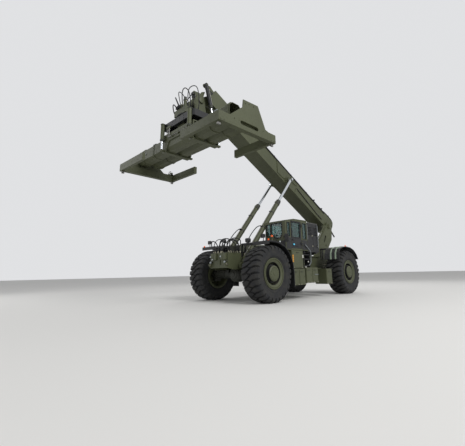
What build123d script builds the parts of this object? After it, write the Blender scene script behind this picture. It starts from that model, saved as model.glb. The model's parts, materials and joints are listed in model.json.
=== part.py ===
from build123d import *
from math import atan2, cos, degrees, hypot, radians, sin
import os

# A rough terrain container handler: four large wheels that all steer, a frame that carries a cab
# on its left, the engine on its right and a telescopic boom on a tower at the back, and below the
# boom's head a turning spreader that locks into the four top corners of a container.
# Millimetres. +X is the machine's left, +Y its back and +Z up. The origin lies on the ground in
# the middle of the whole machine's outline. MID_Y is the body's own datum between the axles, and
# the names that end in AHEAD, BACK, FRONT or REAR count from it.

os.makedirs("parts", exist_ok=True)

# Driving dimensions: running gear
FRONT_AHEAD = 2930
WHEELBASE = 5560
TRACK = 2940
TYRE_R = 980
TYRE_W = 770
LUG_DEPTH = 45
LUG_COUNT = 30
SEAT_R = 500
FLANGE_R = 530
KING_X = 1320
RUNNING_GAP = 0.3

# Driving dimensions: frame
FRAME_HALF = 480
FRAME_PLATE = 40
FRAME_LOW = 1150
FRAME_HIGH = 1750
FRAME_NOSE = 950
REAR_REACH = 4350

# Driving dimensions: boom and its lift cylinders, from the datum
PIVOT_BACK = 3400
PIVOT_Z = 3350
BOOM_DEG = 28.07
BOOM_W = 760
BOOM_H = 680
BOOM_WALL = 14
BOOM_DROP = 100
BOOM_FRONT = 8330
BOOM_TAIL = 480
INNER_GAP = 22
LIFT_FRONT = 3300
LIFT_BASE_Z = 1300
LIFT_PIN_AHEAD = 3860
LIFT_PIN_UP = 100
LIFT_X = 600
LIFT_TUBE_R = 98
LIFT_TUBE = 3600
LIFT_ROD = 3490
LIFT_ROD_R = 62

# Driving dimensions: spreader, from the centre of its turning axis and its lock plane
SPREADER_AHEAD = 5310
LOCK_Z = 5060
LOCK_SPAN_X = 5853
LOCK_SPAN_Y = 2259
CORNER_HALF = 90
CORNER_X = 103.5
CORNER_Y = 90.5
BEAM_PITCH = 540
BEAM_W = 500
BEAM_LOW = 390
BEAM_HIGH = 990
TILT_PIN_AHEAD = 5080
TILT_PIN_Z = 7400
LEVEL_TOP_AHEAD = 4930
LEVEL_TOP_Z = 8090
LEVEL_LOW_AHEAD = 4600
LEVEL_LOW_Z = 6850
LEVEL_X = 430
LEVEL_TUBE_R = 75
LEVEL_ROD_R = 40
LEVEL_PIN_R = 35

# Places worked out from the driving dimensions
SPREADER_LONG = LOCK_SPAN_X + 2 * CORNER_X
SPREADER_DEEP = LOCK_SPAN_Y + 2 * CORNER_Y
SPREADER_FRONT = SPREADER_AHEAD + SPREADER_DEEP / 2
MID_Y = (SPREADER_FRONT - REAR_REACH) / 2
FRONT_Y = MID_Y - FRONT_AHEAD
REAR_Y = FRONT_Y + WHEELBASE
PIVOT_Y = MID_Y + PIVOT_BACK
SPREADER_Y = MID_Y - SPREADER_AHEAD
LIFT_BASE_Y = MID_Y - LIFT_FRONT
WHEEL_X = TRACK / 2
CORNERS = (
    # name, side in X, axle's Y
    ("front_left", 1, FRONT_Y),
    ("front_right", -1, FRONT_Y),
    ("rear_left", 1, REAR_Y),
    ("rear_right", -1, REAR_Y),
)

# The boom's own side plane: u runs forward along the boom, v runs up across it
BOOM_SIDE = Plane(
    origin=(0, PIVOT_Y, PIVOT_Z),
    x_dir=(0, -cos(radians(BOOM_DEG)), sin(radians(BOOM_DEG))),
    z_dir=(-1, 0, 0),
)
BOOM_BOTTOM = -BOOM_DROP
BOOM_TOP = BOOM_BOTTOM + BOOM_H
LIFT_PIN = BOOM_SIDE.from_local_coords((LIFT_PIN_AHEAD, LIFT_PIN_UP, 0))
LIFT_EYE_HALF = LIFT_ROD_R + 3
PAD = 200


def block(x, y, z, mode=Mode.ADD):
    """Add a block between two limits on each axis to the part being built."""
    middle = ((x[0] + x[1]) / 2, (y[0] + y[1]) / 2, (z[0] + z[1]) / 2)
    with Locations(middle):
        Box(abs(x[1] - x[0]), abs(y[1] - y[0]), abs(z[1] - z[0]), mode=mode)


def side_plate(points, x, mode=Mode.ADD):
    """Extrude a side outline of (Y, Z) points between two X limits."""
    with BuildSketch(Plane.YZ.offset(min(x))) as outline:
        Polygon(*points, align=None)
    extrude(outline.sketch, amount=abs(x[1] - x[0]), mode=mode)


def front_plate(points, y, mode=Mode.ADD):
    """Extrude a front outline of (X, Z) points between two Y limits."""
    with BuildSketch(Plane.XZ.offset(-max(y))) as outline:
        Polygon(*points, align=None)
    extrude(outline.sketch, amount=abs(y[1] - y[0]), mode=mode)


def height_on(line, y):
    """Give the height of a line of (Y, Z) points where it passes a given Y."""
    for (y0, z0), (y1, z1) in zip(line, line[1:]):
        if y0 <= y < y1:
            return z0 + (z1 - z0) * (y - y0) / (y1 - y0)
    return line[-1][1]


def bent_plate(line, thickness):
    """Give the outline of a plate that follows a line, with its thickness on the line's lower side."""
    inner = []
    for i, (y, z) in enumerate(line):
        before = line[max(i - 1, 0)]
        after = line[min(i + 1, len(line) - 1)]
        along, up = after[0] - before[0], after[1] - before[1]
        run = hypot(along, up)
        inner.append((y + thickness * up / run, z - thickness * along / run))
    return [*line, *reversed(inner)]


def bent_tube(points, radius):
    """Sweep a round tube along a line of (X, Y, Z) points with rounded bends."""
    with BuildLine() as path:
        FilletPolyline(*points, radius=60)
    with BuildSketch(Plane(origin=path.line @ 0, z_dir=path.line % 0)) as ring:
        Circle(radius)
    sweep(ring.sketch, path=path.line)


def boom_plate(points, x, mode=Mode.ADD):
    """Extrude an outline in the boom's side plane between two X limits."""
    with BuildSketch(BOOM_SIDE.offset(-max(x))) as outline:
        Polygon(*points, align=None)
    extrude(outline.sketch, amount=abs(x[1] - x[0]), mode=mode)


def x_bar(y, z, radius, x, mode=Mode.ADD):
    """Add a round bar along X."""
    with BuildSketch(Plane.YZ.offset(min(x))) as outline:
        with Locations((y, z)):
            Circle(radius)
    extrude(outline.sketch, amount=abs(x[1] - x[0]), mode=mode)


def z_bar(x, y, radius, z, mode=Mode.ADD):
    """Add a round bar along Z."""
    with BuildSketch(Plane.XY.offset(min(z))) as outline:
        with Locations((x, y)):
            Circle(radius)
    extrude(outline.sketch, amount=abs(z[1] - z[0]), mode=mode)


def finish(part, label):
    """Name a finished piece and write its STEP file."""
    part.label = label
    export_step(part, f"parts/{label}.step")


# Frame: two side plates with the boom's tower at the back, cross walls, nose and tail
TOWER_OUTLINE = (
    # behind the datum, Z
    (1750, FRAME_HIGH),
    (2020, 2060),
    (2280, 2560),
    (3120, 3380),
    (3330, 3560),
    (3560, 3600),
    (3690, 3480),
    (3690, 3060),
    (3610, 2640),
    (3110, 2090),
    (2960, FRAME_HIGH),
)
FRAME_FRONT_Y = FRONT_Y - FRAME_NOSE
FRAME_BACK_Y = MID_Y + REAR_REACH - 500
BELLY_LOW = 760
BELLY_SLOPE = 1150
AXLE_BAY = 700
WALL = 40
PIVOT_PIN_R = 80
PIVOT_BOSS_R = 140
LIFT_FOOT_R = 60
KEYHOLE = (2990, 2760)
KEYHOLE_FOOT = (2830, 2470)
TOW_HOLE_R = 32
TOW_Y = FRAME_FRONT_Y - 55
TOW_Z = 1330
RIB = 22
SHELF = 60
inner = FRAME_HALF - FRAME_PLATE
rib_in = FRAME_HALF - 5
with BuildPart() as frame:
    for side in (1, -1):
        plate_x = (side * inner, side * FRAME_HALF)
        side_plate(
            [
                (FRAME_FRONT_Y, FRAME_LOW + 60),
                (FRAME_FRONT_Y + 250, FRAME_LOW),
                (FRONT_Y + AXLE_BAY, FRAME_LOW),
                (FRONT_Y + BELLY_SLOPE, BELLY_LOW),
                (REAR_Y - BELLY_SLOPE, BELLY_LOW),
                (REAR_Y - AXLE_BAY, FRAME_LOW),
                (FRAME_BACK_Y, FRAME_LOW),
                (FRAME_BACK_Y, FRAME_HIGH),
                *[(MID_Y + back, z) for back, z in reversed(TOWER_OUTLINE)],
                (FRAME_FRONT_Y, FRAME_HIGH),
            ],
            plate_x,
        )
        # keyhole slot through each tower plate
        x_bar(MID_Y + KEYHOLE[0], KEYHOLE[1], 75, plate_x, Mode.SUBTRACT)
        side_plate([(MID_Y + KEYHOLE[0] - 45, KEYHOLE[1] + 20), (MID_Y + KEYHOLE[0] + 35, KEYHOLE[1] - 50),
                    (MID_Y + KEYHOLE_FOOT[0] + 30, KEYHOLE_FOOT[1] - 20),
                    (MID_Y + KEYHOLE_FOOT[0] - 40, KEYHOLE_FOOT[1] + 25)], plate_x, Mode.SUBTRACT)
        # rib along the tower's front edge and shelf at its foot, outside each plate
        side_plate([(MID_Y + 2080, 2020), (MID_Y + 2330, 2530), (MID_Y + 3080, 3270), (MID_Y + 3110, 3230),
                    (MID_Y + 2370, 2500), (MID_Y + 2120, 2000)], (side * rib_in, side * (FRAME_HALF + RIB)))
        shelf = (side * rib_in, side * (FRAME_HALF + SHELF))
        block(shelf, (FRONT_Y + BELLY_SLOPE, REAR_Y - 400), (FRAME_HIGH - WALL, FRAME_HIGH - 5))
        block(shelf, (FRONT_Y + BELLY_SLOPE, REAR_Y - BELLY_SLOPE), (BELLY_LOW + 5, BELLY_LOW + WALL))
        # towing lug ahead of the nose
        side_plate([(TOW_Y + 115, TOW_Z - 110), (TOW_Y - 5, TOW_Z - 80), (TOW_Y - 65, TOW_Z),
                    (TOW_Y - 5, TOW_Z + 80), (TOW_Y + 115, TOW_Z + 110)],
                   (side * (inner - 10), side * (inner + 35)))
        x_bar(TOW_Y, TOW_Z, TOW_HOLE_R, (side * (inner - 20), side * (FRAME_HALF + 10)), Mode.SUBTRACT)
    block((-inner, inner), (FRAME_FRONT_Y, FRAME_FRONT_Y + 50), (FRAME_LOW + 60, FRAME_HIGH))
    block((-inner, inner), (FRAME_BACK_Y - WALL, FRAME_BACK_Y), (FRAME_LOW, FRAME_HIGH))
    for axle_y in (FRONT_Y, REAR_Y):
        block((-inner, inner), (axle_y - 300, axle_y + 300), (FRAME_LOW + 150, FRAME_LOW + 150 + WALL))
    block((-inner, inner), (FRONT_Y + BELLY_SLOPE, REAR_Y - BELLY_SLOPE), (BELLY_LOW, BELLY_LOW + 30))
    block((-inner, inner), (FRONT_Y + AXLE_BAY, FRONT_Y + AXLE_BAY + WALL), (FRAME_LOW, FRAME_HIGH))
    # slanted wall between the tower plates
    side_plate([(MID_Y + 2980, 1900), (MID_Y + 3560, 2620), (MID_Y + 3590, 2590), (MID_Y + 3010, 1870)],
               (-inner, inner))
    for side in (1, -1):
        x_bar(PIVOT_Y, PIVOT_Z, PIVOT_BOSS_R, (side * inner, side * (FRAME_HALF + 30)))
    x_bar(PIVOT_Y, PIVOT_Z, PIVOT_PIN_R, (-FRAME_HALF - 50, FRAME_HALF + 50))
    x_bar(LIFT_BASE_Y, LIFT_BASE_Z, LIFT_FOOT_R, (-LIFT_X - 125, LIFT_X + 125))
finish(frame.part, "frame")

# Axles: a housing with its differential and a fork at each end for the steering knuckle
AXLE_Z = TYRE_R
AXLE_TUBE_R = 150
FORK_X = KING_X - 120
FORK_HALF_Z = 250
FORK_LUG = 60
KNUCKLE_HALF_Z = FORK_HALF_Z - FORK_LUG - RUNNING_GAP
KING_PIN_R = 45
DIFF_PROFILE = (
    # radius about the drive's line, along Y from the axle
    (0, -300), (90, -300), (110, -270), (170, -260), (290, -130), (290, 130), (170, 260), (120, 340),
    (0, 340),
)
for label, axle_y in (("front_axle", FRONT_Y), ("rear_axle", REAR_Y)):
    with BuildPart() as axle:
        x_bar(axle_y, AXLE_Z, AXLE_TUBE_R, (-FORK_X, FORK_X))
        with BuildSketch(Plane.XY.offset(AXLE_Z)):
            Polygon(*[(radius, axle_y + along) for radius, along in DIFF_PROFILE], align=None)
        revolve(axis=Axis((0, axle_y, AXLE_Z), (0, 1, 0)), revolution_arc=360)
        for side in (1, -1):
            block((side * 340, side * FRAME_HALF), (axle_y - 170, axle_y + 170), (AXLE_Z + 60, FRAME_LOW))
            x_bar(axle_y, AXLE_Z, AXLE_TUBE_R + 35, (side * 620, side * 660))
            block((side * (FORK_X - 50), side * FORK_X), (axle_y - 140, axle_y + 140),
                  (AXLE_Z - FORK_HALF_Z, AXLE_Z + FORK_HALF_Z))
            for up in (1, -1):
                block((side * FORK_X, side * (KING_X + 60)), (axle_y - 70, axle_y + 70),
                      (AXLE_Z + up * (FORK_HALF_Z - FORK_LUG), AXLE_Z + up * FORK_HALF_Z))
            z_bar(side * KING_X, axle_y, KING_PIN_R + RUNNING_GAP,
                  (AXLE_Z - FORK_HALF_Z - 5, AXLE_Z + FORK_HALF_Z + 5), Mode.SUBTRACT)
    finish(axle.part, label)

# Steering knuckles: a block between the fork's lugs that carries the hub's spindle
SPINDLE_R = 110
for name, side, axle_y in CORNERS:
    with BuildPart() as knuckle:
        z_bar(side * KING_X, axle_y, 72, (AXLE_Z - KNUCKLE_HALF_Z, AXLE_Z + KNUCKLE_HALF_Z))
        z_bar(side * KING_X, axle_y, KING_PIN_R, (AXLE_Z - FORK_HALF_Z, AXLE_Z + FORK_HALF_Z))
        x_bar(axle_y, AXLE_Z, SPINDLE_R + 30, (side * KING_X, side * (KING_X + 85)))
        x_bar(axle_y, AXLE_Z, SPINDLE_R, (side * KING_X, side * (WHEEL_X + 120)))
        block((side * (KING_X - 45), side * (KING_X + 45)), (axle_y + 60, axle_y + 260),
              (AXLE_Z - 35, AXLE_Z + 35))
    finish(knuckle.part, f"knuckle_{name}")

# Rims: flange and lock ring, a deep recess and the planetary hub's cover inside it
RIM_HALF = 335
SEAT_HALF = 296
HUB_X = 355
BORE_R = SPINDLE_R + RUNNING_GAP
RIM_PROFILE = (
    # along X from the wheel's middle, radius
    (-RIM_HALF, FLANGE_R), (-RIM_HALF, SEAT_R - 40), (90, SEAT_R - 50), (60, 330), (-35, 290),
    (-35, BORE_R), (130, BORE_R), (130, 0), (HUB_X + 12, 0), (HUB_X + 12, 60), (HUB_X, 70), (HUB_X, 235),
    (HUB_X - 22, 265), (HUB_X - 120, 275), (HUB_X - 120, 300), (130, 318), (130, 372),
    (RIM_HALF - 45, 388), (RIM_HALF - 8, 470), (RIM_HALF - 22, 478), (RIM_HALF - 22, 488), (RIM_HALF, 496),
    (RIM_HALF, FLANGE_R), (SEAT_HALF + 6, FLANGE_R), (SEAT_HALF, SEAT_R), (-SEAT_HALF, SEAT_R),
    (-SEAT_HALF - 6, FLANGE_R),
)
for name, side, axle_y in CORNERS:
    with BuildPart() as rim:
        with BuildSketch(Plane.XY):
            Polygon(*[(WHEEL_X + along, radius) for along, radius in RIM_PROFILE], align=None)
        revolve(axis=Axis.X, revolution_arc=360)
    placed = rim.part if side > 0 else rim.part.mirror(Plane.YZ)
    finish(placed.translate((0, axle_y, AXLE_Z)), f"rim_{name}")

# Tyres: a faceted carcass with a row of slanted grooves from near the middle over each shoulder
SIDEWALL_HALF = TYRE_W / 2
SIDEWALL_R = TYRE_R - 225
TREAD_HALF = SIDEWALL_HALF - 85
TYRE_RINGS = (
    # X from the tyre's middle, radius
    (-SIDEWALL_HALF, SIDEWALL_R),
    (-TREAD_HALF, TYRE_R),
    (TREAD_HALF, TYRE_R),
    (SIDEWALL_HALF, SIDEWALL_R),
)
GROOVE_W = 62
GROOVE_START = 22
GROOVE_END = SIDEWALL_HALF + 45
GROOVE_SLANT = 30
with BuildPart() as groove:
    with BuildSketch(Plane.YZ):
        Polygon((-GROOVE_W, LUG_DEPTH), (GROOVE_W, LUG_DEPTH), (0, -LUG_DEPTH), align=None)
    extrude(amount=(GROOVE_END - GROOVE_START) / cos(radians(GROOVE_SLANT)))
with BuildPart() as tyre:
    for ring_x, radius in TYRE_RINGS:
        with BuildSketch(Plane.YZ.offset(ring_x)):
            RegularPolygon(radius, LUG_COUNT, major_radius=False)
    loft(ruled=True)
    for side in (1, -1):
        # sidewall from the widest ring in to the bead
        with BuildSketch(Plane.YZ.offset(side * (SEAT_HALF - 6))):
            RegularPolygon(FLANGE_R + 10, LUG_COUNT, major_radius=False)
        with BuildSketch(Plane.YZ.offset(side * SIDEWALL_HALF)):
            RegularPolygon(SIDEWALL_R, LUG_COUNT, major_radius=False)
        loft(ruled=True, mode=Mode.SUBTRACT)
    with BuildSketch(Plane.YZ.offset(-SEAT_HALF)):
        RegularPolygon(SEAT_R + RUNNING_GAP, LUG_COUNT, major_radius=False)
    extrude(amount=2 * SEAT_HALF, mode=Mode.SUBTRACT)
    for lug in range(LUG_COUNT):
        for row, shift in ((1, 0), (-1, 0.5)):
            turn = radians(360 / LUG_COUNT * (lug + shift))
            slant = radians(GROOVE_SLANT)
            start = (row * GROOVE_START, TYRE_R * cos(turn), TYRE_R * sin(turn))
            run = (row * cos(slant), -sin(turn) * sin(slant), cos(turn) * sin(slant))
            with Locations(Plane(origin=start, x_dir=run, z_dir=(0, cos(turn), sin(turn)))):
                add(groove.part, mode=Mode.SUBTRACT)
for name, side, axle_y in CORNERS:
    placed = tyre.part if side > 0 else tyre.part.mirror(Plane.YZ)
    finish(placed.translate((side * WHEEL_X, axle_y, AXLE_Z)), f"tyre_{name}")

# Fenders: bent plates over each tyre, carried on brackets from the frame
FENDER_IN = 1100
FENDER_OUT = 1850
FENDER_PLATE = 25
FENDER_REACH = 1100
FENDER_RISE = TYRE_R + 150
FENDER_LINES = (
    # name, axle's Y, the plate's outer line from front to back in parts of the reach and of the rise
    ("front_fenders", FRONT_Y, ((-0.245, 1.0), (0.07, 0.99), (0.3, 0.955), (0.52, 0.87), (0.72, 0.73),
                                (0.88, 0.54), (0.972, 0.33), (1.014, 0.07), (1.014, -0.44))),
    ("rear_fenders", REAR_Y, ((-0.875, 0.51), (-0.84, 0.76), (-0.72, 0.93), (-0.47, 1.01), (-0.14, 1.03),
                              (0.23, 1.0), (0.52, 0.905), (0.75, 0.735), (0.875, 0.53))),
)
LIP = 130


def fender_line(axle_y, line):
    """Turn a fender's line in parts of its reach and rise into (Y, Z) points."""
    return [(axle_y + along * FENDER_REACH, AXLE_Z + up * FENDER_RISE) for along, up in line]


for label, axle_y, line in FENDER_LINES:
    with BuildPart() as fenders:
        for side in (1, -1):
            outer = fender_line(axle_y, line)
            span = (side * FENDER_IN, side * FENDER_OUT)
            side_plate(bent_plate(outer, FENDER_PLATE), span)
            if label == "front_fenders":
                front_y, front_z = outer[0]
                block(span, (front_y - FENDER_PLATE, front_y + 10), (front_z - LIP, front_z - 5))
            # stiffening rib under the outer edge
            side_plate(bent_plate([(y, z - 5) for y, z in outer[:4]], FENDER_PLATE + 15),
                       (side * (FENDER_OUT - 30), side * (FENDER_OUT - 12)))
            for arm in (-0.22, -0.06):
                arm_y = axle_y + arm * FENDER_REACH
                arm_top = height_on(outer, arm_y) - FENDER_PLATE + 10
                arm_span = (arm_y - 35, arm_y + 35)
                block((side * FRAME_HALF, side * (FENDER_IN + 40)), arm_span, (arm_top - 65, arm_top))
                block((side * FRAME_HALF, side * (FRAME_HALF + 20)), arm_span,
                      (FRAME_HIGH - 150, arm_top - 30))
    finish(fenders.part, label)

# Boxes along the left side with raised doors, their carrier and the steps to the cab
CAB_OUT = 1730
BOX_OUT = CAB_OUT + 20
BOX_IN = 1200
BOX_START = FRONT_Y + 1130
DOOR_RISE = 12
LEFT_BOXES = (
    # front Y, back Y, low Z, high Z, number of doors
    (BOX_START, BOX_START + 740, 1160, 1825, 1),
    (BOX_START, BOX_START + 820, 535, 1140, 2),
    (BOX_START + 890, BOX_START + 1750, 590, 1180, 2),
    (REAR_Y - 2030, REAR_Y - 1560, 500, 1130, 1),
)
RAIL_FRONT = BOX_START + 20
RAIL_BACK = REAR_Y - 1580
with BuildPart() as side_boxes:
    for front, back, low, high, doors in LEFT_BOXES:
        block((BOX_IN, BOX_OUT), (front, back), (low, high))
        door_long = (back - front) / doors
        for door in range(doors):
            door_front = front + door * door_long
            block((BOX_OUT - 5, BOX_OUT + DOOR_RISE), (door_front + 28, door_front + door_long - 28),
                  (low + 35, high - 35))
            with BuildSketch(Plane.YZ.offset(BOX_OUT + DOOR_RISE - 5)):
                with Locations((door_front + door_long - 75, (low + high) / 2)):
                    Circle(22)
            extrude(amount=17)
    for beam_y in (BOX_START + 300, BOX_START + 1300, REAR_Y - 1800):
        block((FRAME_HALF, BOX_IN - 20), (beam_y - 50, beam_y + 50), (1020, 1130))
    block((BOX_IN - 60, BOX_IN + 20), (RAIL_FRONT, RAIL_BACK), (1000, 1170))
finish(side_boxes.part, "side_boxes")

STEP_FRONT = BOX_START + 790
STEP_BACK = STEP_FRONT + 430
STEP_LOW = 1185
RAIL_X = BOX_OUT + 15
with BuildPart() as steps:
    for step_z, step_in in ((1240, 240), (1490, 190), (1660, 150)):
        block((BOX_OUT - step_in, BOX_OUT - 5), (STEP_FRONT + 5, STEP_BACK - 5), (step_z, step_z + 28))
        for tooth in range(9):
            tooth_y = STEP_FRONT + 35 + tooth * 45
            block((BOX_OUT - step_in + 10, BOX_OUT - 12), (tooth_y - 7, tooth_y + 7),
                  (step_z + 23, step_z + 34))
    for rail_y in (STEP_FRONT, STEP_BACK):
        block((BOX_OUT - 250, BOX_OUT), (rail_y - 8, rail_y + 8), (STEP_LOW, 1745))
    bent_tube([(RAIL_X, STEP_FRONT + 136, 2076), (RAIL_X, STEP_BACK + 85, 1812),
               (RAIL_X, STEP_BACK + 50, 1354), (BOX_OUT - 20, STEP_BACK - 60, 1254)], 15)
    block((CAB_OUT, RAIL_X), (STEP_FRONT + 140, STEP_FRONT + 160), (2050, 2072))
finish(steps.part, "steps")

# Cab: floor tub, pillars, sloped roof, with the windows cut and a door on its left
CAB_IN = 730
CAB_FRONT_Y = MID_Y - 2080
CAB_BACK_Y = MID_Y - 620
CAB_LOW = 1840
CAB_EAVE = 2950
CAB_TOP = CAB_EAVE + 120
CAB_BROW_Y = CAB_FRONT_Y + 530
CAB_WALL = 45
DOOR_FRONT_Y = CAB_FRONT_Y + 340
DOOR_BACK_Y = DOOR_FRONT_Y + 690
DOOR_LOW = CAB_LOW + 60
DOOR_HIGH = CAB_EAVE + 20
HINGE_X = CAB_OUT + 20
HINGE_Y = DOOR_BACK_Y + 6
HINGE_PIN_R = 9
DOOR_HINGES = (CAB_LOW + 260, CAB_EAVE - 130)
GLASS = 6
GLASS_GAP = 0.3
NARROW_PANE = (
    # X, Z of the pane beside the boom, seen from the front
    (790, 2410), (985, 2410), (985, 2850), (790, 2850),
)
MAIN_PANE = (
    # X, Z of the main front pane, its lower corners cut off
    (1040, 2480), (1257, 2284), (1478, 2300), (1560, 2430), (1570, 2870), (1040, 2870),
)
SIDE_PANES = (
    # front and back from the cab's front, low and high Z
    (90, 270, CAB_EAVE - 600, CAB_EAVE - 70),
    (1120, 1360, CAB_EAVE - 660, CAB_EAVE - 20),
)
BOOM_SIDE_PANE = (150, 1360, CAB_EAVE - 600, CAB_EAVE - 40)
DOOR_PANE = (50, 590, CAB_EAVE - 630, CAB_EAVE - 20)
BACK_PANE = (120, CAB_EAVE - 500, CAB_EAVE - 40)


def inset(points, gap):
    """Pull a convex outline's points in towards its middle by about a gap on each axis."""
    mid = [(min(p[i] for p in points) + max(p[i] for p in points)) / 2 for i in (0, 1)]
    return [tuple(c - gap if c > m else c + gap for c, m in zip(point, mid)) for point in points]


with BuildPart() as cab_shell:
    side_plate([(CAB_FRONT_Y, CAB_LOW), (CAB_FRONT_Y, CAB_EAVE), (CAB_BROW_Y, CAB_TOP - 20),
                (CAB_BACK_Y, CAB_TOP), (CAB_BACK_Y, CAB_LOW)], (CAB_IN, CAB_OUT))
    side_plate([(CAB_FRONT_Y + CAB_WALL, CAB_LOW + CAB_WALL), (CAB_FRONT_Y + CAB_WALL, CAB_EAVE - 45),
                (CAB_BROW_Y, CAB_TOP - 75), (CAB_BACK_Y - CAB_WALL, CAB_TOP - 55),
                (CAB_BACK_Y - CAB_WALL, CAB_LOW + CAB_WALL)],
               (CAB_IN + CAB_WALL, CAB_OUT - CAB_WALL), Mode.SUBTRACT)
    # front, side and back windows, then the door's opening
    for pane in (NARROW_PANE, MAIN_PANE):
        front_plate(pane, (CAB_FRONT_Y - 10, CAB_FRONT_Y + 60), Mode.SUBTRACT)
    for front, back, low, high in SIDE_PANES:
        block((CAB_OUT - 60, CAB_OUT + 10), (CAB_FRONT_Y + front, CAB_FRONT_Y + back), (low, high),
              Mode.SUBTRACT)
    front, back, low, high = BOOM_SIDE_PANE
    block((CAB_IN - 10, CAB_IN + 60), (CAB_FRONT_Y + front, CAB_FRONT_Y + back), (low, high), Mode.SUBTRACT)
    block((CAB_IN + BACK_PANE[0], CAB_OUT - BACK_PANE[0]), (CAB_BACK_Y - 60, CAB_BACK_Y + 10), BACK_PANE[1:],
          Mode.SUBTRACT)
    block((CAB_OUT - 60, CAB_OUT + 10), (DOOR_FRONT_Y, DOOR_BACK_Y), (DOOR_LOW, DOOR_HIGH), Mode.SUBTRACT)
    # rain gutters over both sides and a raised frame round the front panes
    for gutter_x in (CAB_IN - 12, CAB_OUT - 5):
        side_plate(bent_plate([(CAB_FRONT_Y + 30, CAB_EAVE + 2), (CAB_BROW_Y, CAB_TOP - 20),
                               (CAB_BACK_Y, CAB_TOP - 4)], 18), (gutter_x, gutter_x + 17))
    block((CAB_IN + 20, CAB_OUT - 90), (CAB_FRONT_Y - 14, CAB_FRONT_Y + 5), (CAB_LOW + 330, CAB_LOW + 395))
    for hinge_z in DOOR_HINGES:
        z_bar(HINGE_X, HINGE_Y, HINGE_PIN_R, (hinge_z - 60, hinge_z + 60))
        for up in (1, -1):
            block((CAB_OUT - 3, HINGE_X + 12), (HINGE_Y - 12, HINGE_Y + 50),
                  (hinge_z + up * 40, hinge_z + up * 60))
finish(cab_shell.part, "cab_shell")

DOOR_GAP = 8
with BuildPart() as cab_door:
    block((CAB_OUT - CAB_WALL, CAB_OUT), (DOOR_FRONT_Y + DOOR_GAP, DOOR_BACK_Y - 14),
          (DOOR_LOW + DOOR_GAP, DOOR_HIGH - DOOR_GAP))
    block((CAB_OUT - CAB_WALL - 5, CAB_OUT - 12), (DOOR_FRONT_Y + 50, DOOR_BACK_Y - 60),
          (DOOR_LOW + 50, DOOR_PANE[2] - 50), Mode.SUBTRACT)
    front, back, low, high = DOOR_PANE
    block((CAB_OUT - CAB_WALL - 10, CAB_OUT + 10), (DOOR_FRONT_Y + front, DOOR_FRONT_Y + back),
          (low, high), Mode.SUBTRACT)
    for hinge_z in DOOR_HINGES:
        knuckle_z = (hinge_z - 40 + RUNNING_GAP, hinge_z + 40 - RUNNING_GAP)
        z_bar(HINGE_X, HINGE_Y, HINGE_PIN_R + 7, knuckle_z)
        block((CAB_OUT - 3, HINGE_X + 8), (HINGE_Y - 70, HINGE_Y - 20), knuckle_z)
        block((CAB_OUT + 8, HINGE_X + 8), (HINGE_Y - 25, HINGE_Y - 5), knuckle_z)
        z_bar(HINGE_X, HINGE_Y, HINGE_PIN_R + RUNNING_GAP, (hinge_z - 50, hinge_z + 50), Mode.SUBTRACT)
    # latch handle near the front edge
    latch_y, latch_z = DOOR_FRONT_Y + 60, DOOR_PANE[2] - 95
    block((CAB_OUT - 3, CAB_OUT + 30), (latch_y, latch_y + 25), (latch_z - 10, latch_z + 10))
    block((CAB_OUT + 18, CAB_OUT + 34), (latch_y, latch_y + 130), (latch_z - 15, latch_z + 15))
finish(cab_door.part, "cab_door")

# Window panes of the cab and of its door, each in its opening
with BuildPart() as cab_glass:
    glass_y = CAB_FRONT_Y + 20
    for pane in (NARROW_PANE, MAIN_PANE):
        front_plate(inset(pane, GLASS_GAP), (glass_y, glass_y + GLASS))
    glass_x = CAB_OUT - 25
    for front, back, low, high in SIDE_PANES:
        block((glass_x, glass_x + GLASS), (CAB_FRONT_Y + front + GLASS_GAP, CAB_FRONT_Y + back - GLASS_GAP),
              (low + GLASS_GAP, high - GLASS_GAP))
    front, back, low, high = BOOM_SIDE_PANE
    block((CAB_IN + 20, CAB_IN + 20 + GLASS),
          (CAB_FRONT_Y + front + GLASS_GAP, CAB_FRONT_Y + back - GLASS_GAP),
          (low + GLASS_GAP, high - GLASS_GAP))
    side_in, low, high = BACK_PANE
    block((CAB_IN + side_in + GLASS_GAP, CAB_OUT - side_in - GLASS_GAP),
          (CAB_BACK_Y - 25, CAB_BACK_Y - 25 + GLASS), (low + GLASS_GAP, high - GLASS_GAP))
finish(cab_glass.part, "cab_glass")

with BuildPart() as door_glass:
    front, back, low, high = DOOR_PANE
    block((glass_x, glass_x + GLASS), (DOOR_FRONT_Y + front + GLASS_GAP, DOOR_FRONT_Y + back - GLASS_GAP),
          (low + GLASS_GAP, high - GLASS_GAP))
finish(door_glass.part, "door_glass")

# The cab's mount on the frame, the seat, and the steering column with the side console
MOUNT_LOW = FRAME_HIGH - 5
MOUNT_BEAMS = (
    # Y, outer end in X, top Z
    (CAB_FRONT_Y + 430, BOX_IN - 20, CAB_LOW),
    (CAB_BACK_Y - 130, CAB_OUT - 100, CAB_LOW),
    (CAB_BACK_Y + 700, CAB_OUT - 60, CAB_LOW - 40),
)
with BuildPart() as cab_mount:
    for beam_y, beam_out, beam_top in MOUNT_BEAMS:
        block((FRAME_HALF, beam_out), (beam_y - 60, beam_y + 60), (MOUNT_LOW, beam_top))
finish(cab_mount.part, "cab_mount")

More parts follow.
